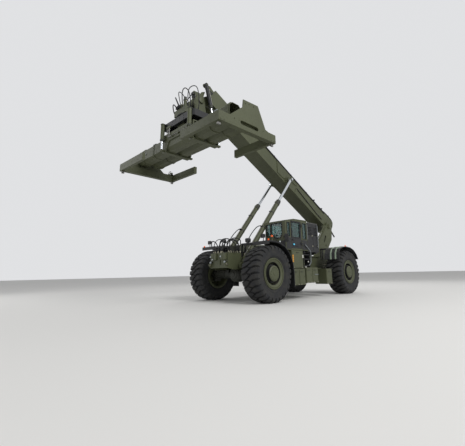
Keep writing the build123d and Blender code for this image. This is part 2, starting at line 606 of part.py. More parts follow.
SEAT_Y = CAB_BACK_Y - 420
SEAT_X = (CAB_IN + CAB_OUT) / 2
SEAT_HALF = 230
CUSHION_Z = CAB_LOW + 440
with BuildPart() as cab_seat:
    block((SEAT_X - 150, SEAT_X + 150), (SEAT_Y - 180, SEAT_Y + 180), (CAB_LOW + CAB_WALL, CUSHION_Z - 100))
    block((SEAT_X - SEAT_HALF, SEAT_X + SEAT_HALF), (SEAT_Y - 240, SEAT_Y + 230),
          (CUSHION_Z - 110, CUSHION_Z))
    side_plate([(SEAT_Y + 190, CUSHION_Z - 60), (SEAT_Y + 290, CUSHION_Z - 60),
                (SEAT_Y + 350, CUSHION_Z + 520), (SEAT_Y + 290, CUSHION_Z + 540)],
               (SEAT_X - SEAT_HALF + 20, SEAT_X + SEAT_HALF - 20))
    fillet(cab_seat.edges().filter_by(Axis.X).group_by(SortBy.LENGTH)[-1], 18)
finish(cab_seat.part, "cab_seat")

COLUMN_Y = CAB_FRONT_Y + 330
WHEEL_Z = CUSHION_Z + 130
STEERING_PLANE = Plane(origin=(SEAT_X, COLUMN_Y, WHEEL_Z), x_dir=(1, 0, 0), z_dir=(0, 0.45, 0.9))
STICK_X = SEAT_X - 335
STICK_Y = SEAT_Y - 180
with BuildPart() as cab_controls:
    side_plate([(CAB_FRONT_Y + 60, CAB_LOW + CAB_WALL), (CAB_FRONT_Y + 240, CAB_LOW + CAB_WALL),
                (CAB_FRONT_Y + 330, WHEEL_Z - 120), (CAB_FRONT_Y + 220, WHEEL_Z - 90)],
               (SEAT_X - 70, SEAT_X + 70))
    with BuildSketch(STEERING_PLANE):
        Circle(180)
        Circle(155, mode=Mode.SUBTRACT)
        Rectangle(330, 30)
        Circle(45)
    extrude(amount=24)
    with BuildSketch(STEERING_PLANE):
        Circle(28)
    extrude(amount=-190)
    block((STICK_X - 65, STICK_X + 65), (SEAT_Y - 260, SEAT_Y + 240), (CAB_LOW + CAB_WALL, CUSHION_Z + 60))
    z_bar(STICK_X, STICK_Y, 16, (CUSHION_Z + 50, CUSHION_Z + 220))
    z_bar(STICK_X, STICK_Y, 26, (CUSHION_Z + 180, CUSHION_Z + 250))
finish(cab_controls.part, "cab_controls")

# Cabinet behind the cab: a hollow box with louvred doors, on the rear beam
CABINET_FRONT_Y = CAB_BACK_Y + 10
CABINET_BACK_Y = CABINET_FRONT_Y + 860
CABINET_LOW = CAB_LOW - 40
CABINET_HIGH = CAB_TOP - 50
with BuildPart() as cab_cabinet:
    block((CAB_IN + 30, CAB_OUT - 30), (CABINET_FRONT_Y, CABINET_BACK_Y), (CABINET_LOW, CABINET_HIGH))
    chamfer(cab_cabinet.faces().sort_by(Axis.Z)[-1].edges(), 25)
    block((CAB_IN + 55, CAB_OUT - 55), (CABINET_FRONT_Y + 25, CABINET_BACK_Y - 25),
          (CABINET_LOW + 20, CABINET_HIGH - 25), Mode.SUBTRACT)
    for door in (0, 1):
        door_y = CABINET_FRONT_Y + 35 + door * 405
        block((CAB_OUT - 35, CAB_OUT - 20), (door_y, door_y + 385), (CABINET_LOW + 60, CABINET_HIGH - 60))
        for slot in range(6):
            slot_z = CABINET_LOW + 700 + slot * 60
            block((CAB_OUT - 60, CAB_OUT - 10), (door_y + 60, door_y + 325), (slot_z, slot_z + 22),
                  Mode.SUBTRACT)
finish(cab_cabinet.part, "cab_cabinet")

# Engine side: the hood with its louvres and cooler grille, the engine, the fuel tank and the exhaust
HOOD_IN = 640
HOOD_OUT = 1740
HOOD_FRONT_Y = FRONT_Y + 1430
HOOD_BACK_Y = REAR_Y - 1630
HOOD_LOW = 1180
HOOD_HIGH = 2260
HOOD_WALL = 30
LOUVRES = 12
SLATS = 13
with BuildPart() as engine_hood:
    block((-HOOD_OUT, -HOOD_IN), (HOOD_FRONT_Y, HOOD_BACK_Y), (HOOD_LOW, HOOD_HIGH))
    chamfer(engine_hood.edges().filter_by(Axis.Y).group_by(Axis.Z)[-1], 70)
    block((-HOOD_OUT + HOOD_WALL, -HOOD_IN - HOOD_WALL), (HOOD_FRONT_Y + HOOD_WALL, HOOD_BACK_Y - HOOD_WALL),
          (HOOD_LOW - 10, HOOD_HIGH - 75), Mode.SUBTRACT)
    # openings: louvres in the outer side, a slatted grille in the back wall
    door_long = (HOOD_BACK_Y - HOOD_FRONT_Y) / 3
    for door in range(3):
        door_y = HOOD_FRONT_Y + door * door_long
        block((-HOOD_OUT - 12, -HOOD_OUT + 5), (door_y + 30, door_y + door_long - 30),
              (HOOD_LOW + 60, HOOD_HIGH - 110))
        for louvre in range(LOUVRES):
            louvre_z = HOOD_LOW + 320 + louvre * 45
            block((-HOOD_OUT - 20, -HOOD_OUT + HOOD_WALL + 10), (door_y + 130, door_y + door_long - 130),
                  (louvre_z, louvre_z + 20), Mode.SUBTRACT)
    block((-HOOD_OUT + 120, -HOOD_IN - 120), (HOOD_BACK_Y - HOOD_WALL - 5, HOOD_BACK_Y + 5),
          (HOOD_LOW + 120, HOOD_HIGH - 140), Mode.SUBTRACT)
    slat_pitch = (HOOD_HIGH - HOOD_LOW - 260) / SLATS
    for slat in range(SLATS):
        slat_z = HOOD_LOW + 120 + (slat + 0.5) * slat_pitch
        side_plate([(HOOD_BACK_Y - 24, slat_z + 14), (HOOD_BACK_Y - 20, slat_z + 18),
                    (HOOD_BACK_Y - 4, slat_z - 10), (HOOD_BACK_Y - 8, slat_z - 14)],
                   (-HOOD_OUT + 115, -HOOD_IN - 115))
finish(engine_hood.part, "engine_hood")

with BuildPart() as engine:
    block((-1500, -760), (HOOD_FRONT_Y + 300, HOOD_BACK_Y - 500), (HOOD_LOW - 120, HOOD_HIGH - 160))
    for beam_y in (HOOD_FRONT_Y + 500, HOOD_BACK_Y - 700):
        beam_span = (beam_y - 100, beam_y + 100)
        block((-HOOD_OUT + HOOD_WALL + 5, -FRAME_HALF), beam_span, (HOOD_LOW - 120, HOOD_LOW - 5))
        block((-HOOD_OUT + 5, -HOOD_OUT + HOOD_WALL + 15), beam_span, (HOOD_LOW - 120, HOOD_LOW))
finish(engine.part, "engine")

TANK_FRONT_Y = FRONT_Y + 2030
TANK_BACK_Y = REAR_Y - 1730
TANK_LOW = 480
TANK_HIGH = 1030
with BuildPart() as fuel_tank:
    block((-HOOD_OUT, -BOX_IN), (TANK_FRONT_Y, TANK_BACK_Y), (TANK_LOW, TANK_HIGH))
    fillet(fuel_tank.edges().filter_by(Axis.Y), 70)
    for strap in (0.25, 0.75):
        strap_y = TANK_FRONT_Y + strap * (TANK_BACK_Y - TANK_FRONT_Y)
        block((-HOOD_OUT - 6, -BOX_IN + 6), (strap_y - 30, strap_y + 30), (TANK_LOW + 80, TANK_HIGH - 80))
    for bracket_y in (TANK_FRONT_Y + 260, TANK_BACK_Y - 260):
        block((-BOX_IN - 10, -FRAME_HALF), (bracket_y - 60, bracket_y + 60),
              (TANK_HIGH - 170, TANK_HIGH - 70))
    z_bar(-HOOD_OUT + 90, TANK_FRONT_Y + 120, 55, (TANK_HIGH - 30, TANK_HIGH + 25))
finish(fuel_tank.part, "fuel_tank")

EXHAUST_X = -900
EXHAUST_Y = HOOD_BACK_Y - 300
with BuildPart() as exhaust:
    z_bar(EXHAUST_X, EXHAUST_Y, 70, (HOOD_HIGH, HOOD_HIGH + 60))
    z_bar(EXHAUST_X, EXHAUST_Y, 105, (HOOD_HIGH + 55, HOOD_HIGH + 430))
    bent_tube([(EXHAUST_X, EXHAUST_Y, HOOD_HIGH + 425), (EXHAUST_X, EXHAUST_Y, HOOD_HIGH + 640),
               (EXHAUST_X, EXHAUST_Y + 190, HOOD_HIGH + 760)], 45)
finish(exhaust.part, "exhaust")

# Counterweight across the tail
WEIGHT_HALF = 1000
TAIL_Y = MID_Y + REAR_REACH
with BuildPart() as counterweight:
    side_plate([(FRAME_BACK_Y, 860), (FRAME_BACK_Y + 120, BELLY_LOW), (TAIL_Y - 160, BELLY_LOW),
                (TAIL_Y, 940), (TAIL_Y, 1480), (TAIL_Y - 140, 1700), (FRAME_BACK_Y, 1700)],
               (-WEIGHT_HALF, WEIGHT_HALF))
    fillet(counterweight.edges().filter_by(Axis.Z), 60)
    block((-180, 180), (TAIL_Y - 60, TAIL_Y + 10), (1080, 1300), Mode.SUBTRACT)
finish(counterweight.part, "counterweight")

# Lamps: work lamps and markers on the fenders, and mirrors on arms
FENDER_FRONT_Z = AXLE_Z + FENDER_RISE
FENDER_BACK_TOP = AXLE_Z + 1.03 * FENDER_RISE
MARKERS = (
    # side in X, X, Y, Z of the seat it stands on
    (1, 1790, FRONT_Y - 230, FENDER_FRONT_Z),
    (-1, 1790, FRONT_Y - 230, FENDER_FRONT_Z),
    (1, 1790, REAR_Y - 154, FENDER_BACK_TOP),
    (-1, 1790, REAR_Y - 154, FENDER_BACK_TOP),
)
with BuildPart() as marker_lamps:
    for side, lamp_x, lamp_y, lamp_z in MARKERS:
        z_bar(side * lamp_x, lamp_y, 34, (lamp_z, lamp_z + 18))
        z_bar(side * lamp_x, lamp_y, 27, (lamp_z + 15, lamp_z + 58))
finish(marker_lamps.part, "marker_lamps")

FENDER_LAMP_Z = height_on(fender_line(*FENDER_LINES[0][1:]), FRONT_Y - 202)
WORK_LAMPS = (
    # side in X, X of the lamp's middle, Y of the lens face, Z of its post's foot, length of the post
    (1, 1500, FRONT_Y - 215, FENDER_LAMP_Z, 120),
    (-1, 1500, FRONT_Y - 215, FENDER_LAMP_Z, 120),
)
with BuildPart() as work_lamps:
    for side, lamp_x, lamp_y, foot_z, post in WORK_LAMPS:
        z_bar(side * lamp_x, lamp_y + 45, 14, (foot_z, foot_z + post))
        z_bar(side * lamp_x, lamp_y + 45, 32, (foot_z, foot_z + 10))
        lens_z = foot_z + post + 60
        for half_w, half_h, near, far in ((72, 62, 22, 78), (82, 72, 0, 26)):
            front_plate([(side * lamp_x - half_w, lens_z - half_h), (side * lamp_x + half_w, lens_z - half_h),
                         (side * lamp_x + half_w, lens_z + half_h),
                         (side * lamp_x - half_w, lens_z + half_h)],
                        (lamp_y + near, lamp_y + far))
        front_plate([(side * lamp_x - 66, lens_z - 56), (side * lamp_x + 66, lens_z - 56),
                     (side * lamp_x + 66, lens_z + 56), (side * lamp_x - 66, lens_z + 56)],
                    (lamp_y - 5, lamp_y + 12), Mode.SUBTRACT)
finish(work_lamps.part, "work_lamps")

MIRROR_X = CAB_OUT + 110
MIRROR_Y = CAB_FRONT_Y - 40
MIRROR_Z = 2260
MIRROR_ARM_Z = MIRROR_Z + 70
with BuildPart() as mirrors:
    bent_tube([(CAB_OUT - 60, CAB_FRONT_Y - 11, MIRROR_ARM_Z), (CAB_OUT - 60, MIRROR_Y - 60, MIRROR_ARM_Z),
               (MIRROR_X, MIRROR_Y - 60, MIRROR_ARM_Z)], 10)
    block((CAB_OUT - 85, CAB_OUT - 35), (CAB_FRONT_Y - 12, CAB_FRONT_Y),
          (MIRROR_ARM_Z - 30, MIRROR_ARM_Z + 30))
    with BuildSketch(Plane.XZ.offset(-MIRROR_Y + 35)):
        with Locations((MIRROR_X, MIRROR_Z)):
            RectangleRounded(170, 300, 30)
    extrude(amount=30)
finish(mirrors.part, "mirrors")

# Boom, outer section: a box with a collar at its mouth, side doublers at the lift pins
with BuildPart() as boom_outer:
    boom_plate([(-BOOM_TAIL, BOOM_BOTTOM + 120), (-BOOM_TAIL + 200, BOOM_BOTTOM), (BOOM_FRONT, BOOM_BOTTOM),
                (BOOM_FRONT, BOOM_TOP), (-BOOM_TAIL + 60, BOOM_TOP), (-BOOM_TAIL, BOOM_TOP - 80)],
               (-BOOM_W / 2, BOOM_W / 2))
    boom_plate([(600, BOOM_BOTTOM + BOOM_WALL), (BOOM_FRONT + 10, BOOM_BOTTOM + BOOM_WALL),
                (BOOM_FRONT + 10, BOOM_TOP - BOOM_WALL), (600, BOOM_TOP - BOOM_WALL)],
               (-BOOM_W / 2 + BOOM_WALL, BOOM_W / 2 - BOOM_WALL), Mode.SUBTRACT)
    for side in (1, -1):
        # doubler above the lift pin, round plate at the pin and a band behind them
        boom_plate([(LIFT_PIN_AHEAD - 680, 292), (LIFT_PIN_AHEAD - 80, 250), (LIFT_PIN_AHEAD + 283, 10),
                    (LIFT_PIN_AHEAD + 761, BOOM_BOTTOM + 80), (LIFT_PIN_AHEAD + 1026, BOOM_TOP - 115),
                    (LIFT_PIN_AHEAD - 207, BOOM_TOP - 115)],
                   (side * (BOOM_W / 2 - 5), side * (BOOM_W / 2 + 25)))
        x_bar(LIFT_PIN.Y, LIFT_PIN.Z, 185, (side * (BOOM_W / 2 - 5), side * (BOOM_W / 2 + 40)))
        boom_plate([(LIFT_PIN_AHEAD - 860, BOOM_BOTTOM + 5), (LIFT_PIN_AHEAD - 720, BOOM_BOTTOM + 5),
                    (LIFT_PIN_AHEAD - 720, BOOM_TOP - 5), (LIFT_PIN_AHEAD - 860, BOOM_TOP - 5)],
                   (side * (BOOM_W / 2 - 5), side * (BOOM_W / 2 + 12)))
        boom_plate([(BOOM_FRONT - 160, BOOM_BOTTOM - 40), (BOOM_FRONT, BOOM_BOTTOM - 40),
                    (BOOM_FRONT, BOOM_TOP + 40), (BOOM_FRONT - 160, BOOM_TOP + 40)],
                   (side * BOOM_W / 2, side * (BOOM_W / 2 + 40)))
    # wear pads inside the mouth
    pad_in = BOOM_W / 2 - BOOM_WALL - INNER_GAP + RUNNING_GAP
    for side in (1, -1):
        boom_plate([(BOOM_FRONT - PAD, BOOM_BOTTOM + 60), (BOOM_FRONT - 20, BOOM_BOTTOM + 60),
                    (BOOM_FRONT - 20, BOOM_TOP - 60), (BOOM_FRONT - PAD, BOOM_TOP - 60)],
                   (side * pad_in, side * (BOOM_W / 2 - 5)))
    for low, high in ((BOOM_BOTTOM + 5, BOOM_BOTTOM + BOOM_WALL + INNER_GAP - RUNNING_GAP),
                      (BOOM_TOP - BOOM_WALL - INNER_GAP + RUNNING_GAP, BOOM_TOP - 5)):
        boom_plate([(BOOM_FRONT - PAD, low), (BOOM_FRONT - 20, low), (BOOM_FRONT - 20, high),
                    (BOOM_FRONT - PAD, high)], (-BOOM_W / 2 + 60, BOOM_W / 2 - 60))
    for low, high in ((BOOM_BOTTOM - 40, BOOM_BOTTOM), (BOOM_TOP, BOOM_TOP + 40)):
        boom_plate([(BOOM_FRONT - 160, low), (BOOM_FRONT, low), (BOOM_FRONT, high), (BOOM_FRONT - 160, high)],
                   (-BOOM_W / 2, BOOM_W / 2))
    for side in (1, -1):
        x_bar(PIVOT_Y, PIVOT_Z, PIVOT_PIN_R + 60,
              (side * BOOM_W / 2, side * (FRAME_HALF - FRAME_PLATE - RUNNING_GAP)))
        x_bar(LIFT_PIN.Y, LIFT_PIN.Z, 120,
              (side * BOOM_W / 2, side * (LIFT_X - LIFT_EYE_HALF - RUNNING_GAP)))
    x_bar(PIVOT_Y, PIVOT_Z, PIVOT_PIN_R + RUNNING_GAP, (-FRAME_HALF, FRAME_HALF), Mode.SUBTRACT)
finish(boom_outer.part, "boom_outer")

# Boom, inner section: a narrower box that slides out, with the nose's cheeks for the head pin
INNER_W = BOOM_W - 2 * BOOM_WALL - 2 * INNER_GAP
INNER_BOTTOM = BOOM_BOTTOM + BOOM_WALL + INNER_GAP
INNER_TOP = BOOM_TOP - BOOM_WALL - INNER_GAP
INNER_TAIL = 1500
INNER_WALL = 12
NOSE_AT = 9120


def to_boom(back, z):
    """Turn a place behind the wheelbase's middle at height z into the boom's own u and v."""
    y_off = MID_Y + back - PIVOT_Y
    z_off = z - PIVOT_Z
    a = radians(BOOM_DEG)
    return (-y_off * cos(a) + z_off * sin(a), y_off * sin(a) + z_off * cos(a))


TILT_PIN = to_boom(-TILT_PIN_AHEAD, TILT_PIN_Z)
TILT_PIN_R = 60
TILT_Y = MID_Y - TILT_PIN_AHEAD
LEVEL_TOP_Y = MID_Y - LEVEL_TOP_AHEAD
CHEEK = 30
LUG_IN = 190
NOSE_OUTLINE = (
    # from the levelling cylinder's top pin towards the back, and up
    (-30, 80), (250, 90), (480, -100), (560, -160), (1130, -300), (830, -600), (640, -790), (410, -680),
    (210, -740), (170, -420), (60, -100),
)
with BuildPart() as boom_inner:
    boom_plate([(INNER_TAIL, INNER_BOTTOM), (NOSE_AT, INNER_BOTTOM), (NOSE_AT, INNER_TOP),
                (INNER_TAIL, INNER_TOP)], (-INNER_W / 2, INNER_W / 2))
    boom_plate([(INNER_TAIL - 10, INNER_BOTTOM + INNER_WALL), (NOSE_AT - 20, INNER_BOTTOM + INNER_WALL),
                (NOSE_AT - 20, INNER_TOP - INNER_WALL), (INNER_TAIL - 10, INNER_TOP - INNER_WALL)],
               (-INNER_W / 2 + INNER_WALL, INNER_W / 2 - INNER_WALL), Mode.SUBTRACT)
    # wear pads round the tail
    pad_out = INNER_W / 2 + INNER_GAP - RUNNING_GAP
    for side in (1, -1):
        boom_plate([(INNER_TAIL, INNER_BOTTOM + 60), (INNER_TAIL + PAD, INNER_BOTTOM + 60),
                    (INNER_TAIL + PAD, INNER_TOP - 60), (INNER_TAIL, INNER_TOP - 60)],
                   (side * (INNER_W / 2 - 5), side * pad_out))
    for low, high in ((INNER_BOTTOM - INNER_GAP + RUNNING_GAP, INNER_BOTTOM + 5),
                      (INNER_TOP - 5, INNER_TOP + INNER_GAP - RUNNING_GAP)):
        boom_plate([(INNER_TAIL, low), (INNER_TAIL + PAD, low), (INNER_TAIL + PAD, high), (INNER_TAIL, high)],
                   (-INNER_W / 2 + 60, INNER_W / 2 - 60))
    for side in (1, -1):
        # outer cheek with the levelling cylinder's pin, and inner lug down to the head's pin
        side_plate([(LEVEL_TOP_Y + forward, LEVEL_TOP_Z + up) for forward, up in NOSE_OUTLINE],
                   (side * (INNER_W / 2 - CHEEK), side * INNER_W / 2))
        x_bar(LEVEL_TOP_Y, LEVEL_TOP_Z, 85, (side * (INNER_W / 2 - CHEEK), side * INNER_W / 2))
        x_bar(LEVEL_TOP_Y, LEVEL_TOP_Z, LEVEL_PIN_R, (side * (INNER_W / 2 - CHEEK), side * (LEVEL_X + 45)))
        boom_plate([(NOSE_AT - 560, INNER_BOTTOM + 5), (TILT_PIN[0] - 130, TILT_PIN[1] - 50),
                    (TILT_PIN[0] + 10, TILT_PIN[1] - 120), (TILT_PIN[0] + 115, TILT_PIN[1] + 10),
                    (NOSE_AT + 120, 120), (NOSE_AT - 5, 330), (NOSE_AT - 5, INNER_BOTTOM + 5)],
                   (side * LUG_IN, side * (LUG_IN + 45)))
    x_bar(TILT_Y, TILT_PIN_Z, TILT_PIN_R, (-INNER_W / 2 + 15, INNER_W / 2 - 15))
finish(boom_inner.part, "boom_inner")

# Lift cylinders: a tube from the frame's pin and a rod up to the boom's side
LIFT_LENGTH = hypot(LIFT_PIN.Y - LIFT_BASE_Y, LIFT_PIN.Z - LIFT_BASE_Z)
LIFT_DEG = degrees(atan2(LIFT_PIN.Z - LIFT_BASE_Z, LIFT_PIN.Y - LIFT_BASE_Y))
LIFT_LINE = Plane(
    origin=(0, LIFT_BASE_Y, LIFT_BASE_Z),
    x_dir=(1, 0, 0),
    z_dir=(0, cos(radians(LIFT_DEG)), sin(radians(LIFT_DEG))),
)
for side_name, side in (("left", 1), ("right", -1)):
    with BuildPart() as lift_barrel:
        with BuildSketch(LIFT_LINE.offset(90)):
            with Locations((side * LIFT_X, 0)):
                Circle(LIFT_TUBE_R)
        extrude(amount=LIFT_TUBE - 90)
        x_bar(LIFT_BASE_Y, LIFT_BASE_Z, 110, (side * (LIFT_X - 60), side * (LIFT_X + 60)))
        with BuildSketch(LIFT_LINE.offset(200)):
            with Locations((side * LIFT_X, 0)):
                Circle(LIFT_ROD_R + RUNNING_GAP)
        extrude(amount=LIFT_TUBE, mode=Mode.SUBTRACT)
        x_bar(LIFT_BASE_Y, LIFT_BASE_Z, 60 + RUNNING_GAP,
              (side * (LIFT_X - LIFT_TUBE_R - 5), side * (LIFT_X + LIFT_TUBE_R + 5)), Mode.SUBTRACT)
    finish(lift_barrel.part, f"lift_barrel_{side_name}")
    with BuildPart() as lift_rod:
        with BuildSketch(LIFT_LINE.offset(LIFT_LENGTH - LIFT_ROD)):
            with Locations((side * LIFT_X, 0)):
                Circle(LIFT_ROD_R)
        extrude(amount=LIFT_ROD)
        x_bar(LIFT_PIN.Y, LIFT_PIN.Z, 105, (side * (LIFT_X - LIFT_EYE_HALF), side * (LIFT_X + LIFT_EYE_HALF)))
        x_bar(LIFT_PIN.Y, LIFT_PIN.Z, 60, (side * LIFT_X, side * (LIFT_X + 90)))
    finish(lift_rod.part, f"lift_rod_{side_name}")

# Levelling cylinders: hang from the nose's top lugs and hold the head's rear arms
LEVEL_LOW_Y = MID_Y - LEVEL_LOW_AHEAD
LEVEL_LENGTH = hypot(LEVEL_LOW_Y - LEVEL_TOP_Y, LEVEL_LOW_Z - LEVEL_TOP_Z)
LEVEL_TUBE = 940
LEVEL_LINE = Plane(
    origin=(0, LEVEL_TOP_Y, LEVEL_TOP_Z),
    x_dir=(1, 0, 0),
    z_dir=(0, LEVEL_LOW_Y - LEVEL_TOP_Y, LEVEL_LOW_Z - LEVEL_TOP_Z),
)
EYE_HALF = 32
for side_name, side in (("left", 1), ("right", -1)):
    with BuildPart() as level_barrel:
        with BuildSketch(LEVEL_LINE.offset(55)):
            with Locations((side * LEVEL_X, 0)):
                Circle(LEVEL_TUBE_R)
        extrude(amount=LEVEL_TUBE - 55)
        x_bar(LEVEL_TOP_Y, LEVEL_TOP_Z, 75, (side * (LEVEL_X - EYE_HALF), side * (LEVEL_X + EYE_HALF)))
        with BuildSketch(LEVEL_LINE.offset(200)):
            with Locations((side * LEVEL_X, 0)):
                Circle(LEVEL_ROD_R + RUNNING_GAP)
        extrude(amount=LEVEL_TUBE, mode=Mode.SUBTRACT)
        x_bar(LEVEL_TOP_Y, LEVEL_TOP_Z, LEVEL_PIN_R + RUNNING_GAP,
              (side * (LEVEL_X - LEVEL_TUBE_R - 5), side * (LEVEL_X + LEVEL_TUBE_R + 5)), Mode.SUBTRACT)
    finish(level_barrel.part, f"level_barrel_{side_name}")
    with BuildPart() as level_rod:
        with BuildSketch(LEVEL_LINE.offset(500)):
            with Locations((side * LEVEL_X, 0)):
                Circle(LEVEL_ROD_R)
        extrude(amount=LEVEL_LENGTH - 500)
        x_bar(LEVEL_LOW_Y, LEVEL_LOW_Z, 70, (side * (LEVEL_X - EYE_HALF), side * (LEVEL_X + EYE_HALF)))
    finish(level_rod.part, f"level_rod_{side_name}")

# Head: hangs on the boom's nose and carries the slewing ring
HEAD_CHEEK_OUT = INNER_W / 2 - CHEEK - 15
HEAD_ARM_IN = INNER_W / 2 + 6
SLEW_TOP = LOCK_Z + 1560
FLANGE_TOP = SLEW_TOP + 60
TURRET_TOP = SLEW_TOP + 280
RING_R = 520
SLEW_DRIVE_X = 200
SLEW_DRIVE_Y = SPREADER_Y - 400
HEAD_OUTLINE = (
    # from the tilting pin towards the back, and up
    (-320, -150), (-230, 60), (-50, 240), (40, 390), (190, 460), (120, 210), (250, -380), (250, -510),
    (-260, -510), (-260, -380),
)
with BuildPart() as head:
    for side in (1, -1):
        side_plate([(TILT_Y + back, TILT_PIN_Z + up) for back, up in HEAD_OUTLINE],
                   (side * (HEAD_CHEEK_OUT - 50), side * HEAD_CHEEK_OUT))
        x_bar(TILT_Y, TILT_PIN_Z, TILT_PIN_R + 50,
              (side * (HEAD_CHEEK_OUT - 50), side * (HEAD_CHEEK_OUT + 10)))
        # rear arm down to the levelling rod
        side_plate(
            [(SPREADER_Y - 100, TURRET_TOP - 40), (LEVEL_LOW_Y - 90, LEVEL_LOW_Z + 60),
             (LEVEL_LOW_Y + 70, LEVEL_LOW_Z + 60), (LEVEL_LOW_Y + 90, LEVEL_LOW_Z - 60),
             (LEVEL_LOW_Y + 40, FLANGE_TOP - 40), (SPREADER_Y - 100, FLANGE_TOP - 40)],
            (side * HEAD_ARM_IN, side * (LEVEL_X - LEVEL_ROD_R - 6)),
        )
    z_bar(0, SPREADER_Y, RING_R, (SLEW_TOP, FLANGE_TOP))
    block((-HEAD_ARM_IN - 5, HEAD_ARM_IN + 5), (SPREADER_Y - 490, LEVEL_LOW_Y + 30),
          (FLANGE_TOP - 20, TURRET_TOP))
    block((-HEAD_ARM_IN + 25, HEAD_ARM_IN - 25), (SPREADER_Y - 460, LEVEL_LOW_Y),
          (FLANGE_TOP, TURRET_TOP - 30), Mode.SUBTRACT)
    # slewing drive and its valve block on the turret
    z_bar(SLEW_DRIVE_X, SLEW_DRIVE_Y, 85, (TURRET_TOP - 5, TURRET_TOP + 90))
    z_bar(SLEW_DRIVE_X, SLEW_DRIVE_Y, 60, (TURRET_TOP + 85, TURRET_TOP + 330))
    block((-240, 60), (SPREADER_Y - 470, SPREADER_Y - 340), (TURRET_TOP - 5, TURRET_TOP + 170))
    x_bar(TILT_Y, TILT_PIN_Z, TILT_PIN_R + RUNNING_GAP, (-HEAD_CHEEK_OUT - 15, HEAD_CHEEK_OUT + 15),
          Mode.SUBTRACT)
finish(head.part, "head")

# Rotator: the turning frame below the ring, with ears for four upright cylinders
ROTATOR_TOP = SLEW_TOP - RUNNING_GAP
ROTATOR_X = 950
ROTATOR_Y = 570
ROTATOR_LOW = ROTATOR_TOP - 330
RAM_X = 850
RAM_Y = 650
RAM_TOP = ROTATOR_TOP - 120
RAM_R = 75
RAM_ROD_R = 38
RAMS = [(sx * RAM_X, SPREADER_Y + sy * RAM_Y) for sx in (1, -1) for sy in (1, -1)]
with BuildPart() as rotator:
    z_bar(0, SPREADER_Y, RING_R - 40, (ROTATOR_TOP - 100, ROTATOR_TOP))
    block((-ROTATOR_X, ROTATOR_X), (SPREADER_Y - ROTATOR_Y, SPREADER_Y + ROTATOR_Y),
          (ROTATOR_LOW, ROTATOR_TOP - 90))
    chamfer(rotator.edges().filter_by(Axis.Z).filter_by(GeomType.LINE), 60)
    for sx in (1, -1):
        block((sx * 300, sx * (ROTATOR_X - 60)), (SPREADER_Y - ROTATOR_Y + 60, SPREADER_Y + ROTATOR_Y - 60),
              (ROTATOR_LOW - 5, ROTATOR_LOW + 180), Mode.SUBTRACT)
    for ram_x, ram_y in RAMS:
        block((ram_x - 70, ram_x + 70), (SPREADER_Y, ram_y + (60 if ram_y > SPREADER_Y else -60)),
              (RAM_TOP, ROTATOR_TOP - 95))
finish(rotator.part, "rotator")

# Shift carriage: hangs below the rotator and wraps the two beam housings that slide in it
HOUSING_HALF = (BEAM_PITCH + BEAM_W) / 2
CARRIAGE_LOW = LOCK_Z + BEAM_LOW - RUNNING_GAP
CARRIAGE_TOP = LOCK_Z + BEAM_HIGH + RUNNING_GAP
CARRIAGE_WALL = 40
RAM_FOOT = LOCK_Z + 440
with BuildPart() as shift_carriage:
    carriage_out = HOUSING_HALF + CARRIAGE_WALL
    carriage_span = (SPREADER_Y - carriage_out, SPREADER_Y + carriage_out)
    cheek_foot = CARRIAGE_LOW - 45
    block((-ROTATOR_X, ROTATOR_X), carriage_span, (CARRIAGE_TOP, CARRIAGE_TOP + CARRIAGE_WALL))
    for side in (1, -1):
        front_plate([(-ROTATOR_X, CARRIAGE_TOP + 20), (-ROTATOR_X, cheek_foot), (-ROTATOR_X + 200, cheek_foot),
                     (-ROTATOR_X + 420, CARRIAGE_TOP - 260), (ROTATOR_X - 420, CARRIAGE_TOP - 260),
                     (ROTATOR_X - 200, cheek_foot), (ROTATOR_X, cheek_foot), (ROTATOR_X, CARRIAGE_TOP + 20)],
                    (SPREADER_Y + side * (HOUSING_HALF + RUNNING_GAP), SPREADER_Y + side * carriage_out))
        block((side * (ROTATOR_X - 200), side * ROTATOR_X), carriage_span, (CARRIAGE_LOW - 50, CARRIAGE_LOW))
    block((-200, 200), (SPREADER_Y - 420, SPREADER_Y + 420), (CARRIAGE_TOP + 30, ROTATOR_LOW))
    for ram_x, ram_y in RAMS:
        block((ram_x - 55, ram_x + 55),
              (SPREADER_Y + (HOUSING_HALF + 20) * (1 if ram_y > SPREADER_Y else -1),
               ram_y + (55 if ram_y > SPREADER_Y else -55)), (RAM_FOOT - 60, RAM_FOOT))
finish(shift_carriage.part, "shift_carriage")

with BuildPart() as tilt_barrels:
    for ram_x, ram_y in RAMS:
        z_bar(ram_x, ram_y, RAM_R, (RAM_TOP - 650, RAM_TOP))
        z_bar(ram_x, ram_y, RAM_R + 8, (RAM_TOP - 650, RAM_TOP - 600))
        z_bar(ram_x, ram_y, RAM_ROD_R + RUNNING_GAP, (RAM_TOP - 655, RAM_TOP - 100), Mode.SUBTRACT)
finish(tilt_barrels.part, "tilt_barrels")

with BuildPart() as tilt_rods:
    for ram_x, ram_y in RAMS:
        z_bar(ram_x, ram_y, RAM_ROD_R, (RAM_FOOT, RAM_TOP - 400))
finish(tilt_rods.part, "tilt_rods")

# Spreader: two beam housings side by side, tied by plates between them
BEAM_HALF_X = 2700
BEAM_WALL = 12
BEAM_CUT = 110
SLIDE_GAP = 8


def beam_outline(grow):
    """Draw a beam's octagonal outline, larger all round by grow, about its own centre."""
    half_w = BEAM_W / 2 + grow
    half_h = (BEAM_HIGH - BEAM_LOW) / 2 + grow
    cut = BEAM_CUT
    Polygon((-half_w + cut, -half_h), (half_w - cut, -half_h), (half_w, -half_h + cut),
            (half_w, half_h - cut), (half_w - cut, half_h), (-half_w + cut, half_h),
            (-half_w, half_h - cut), (-half_w, -half_h + cut), align=None)


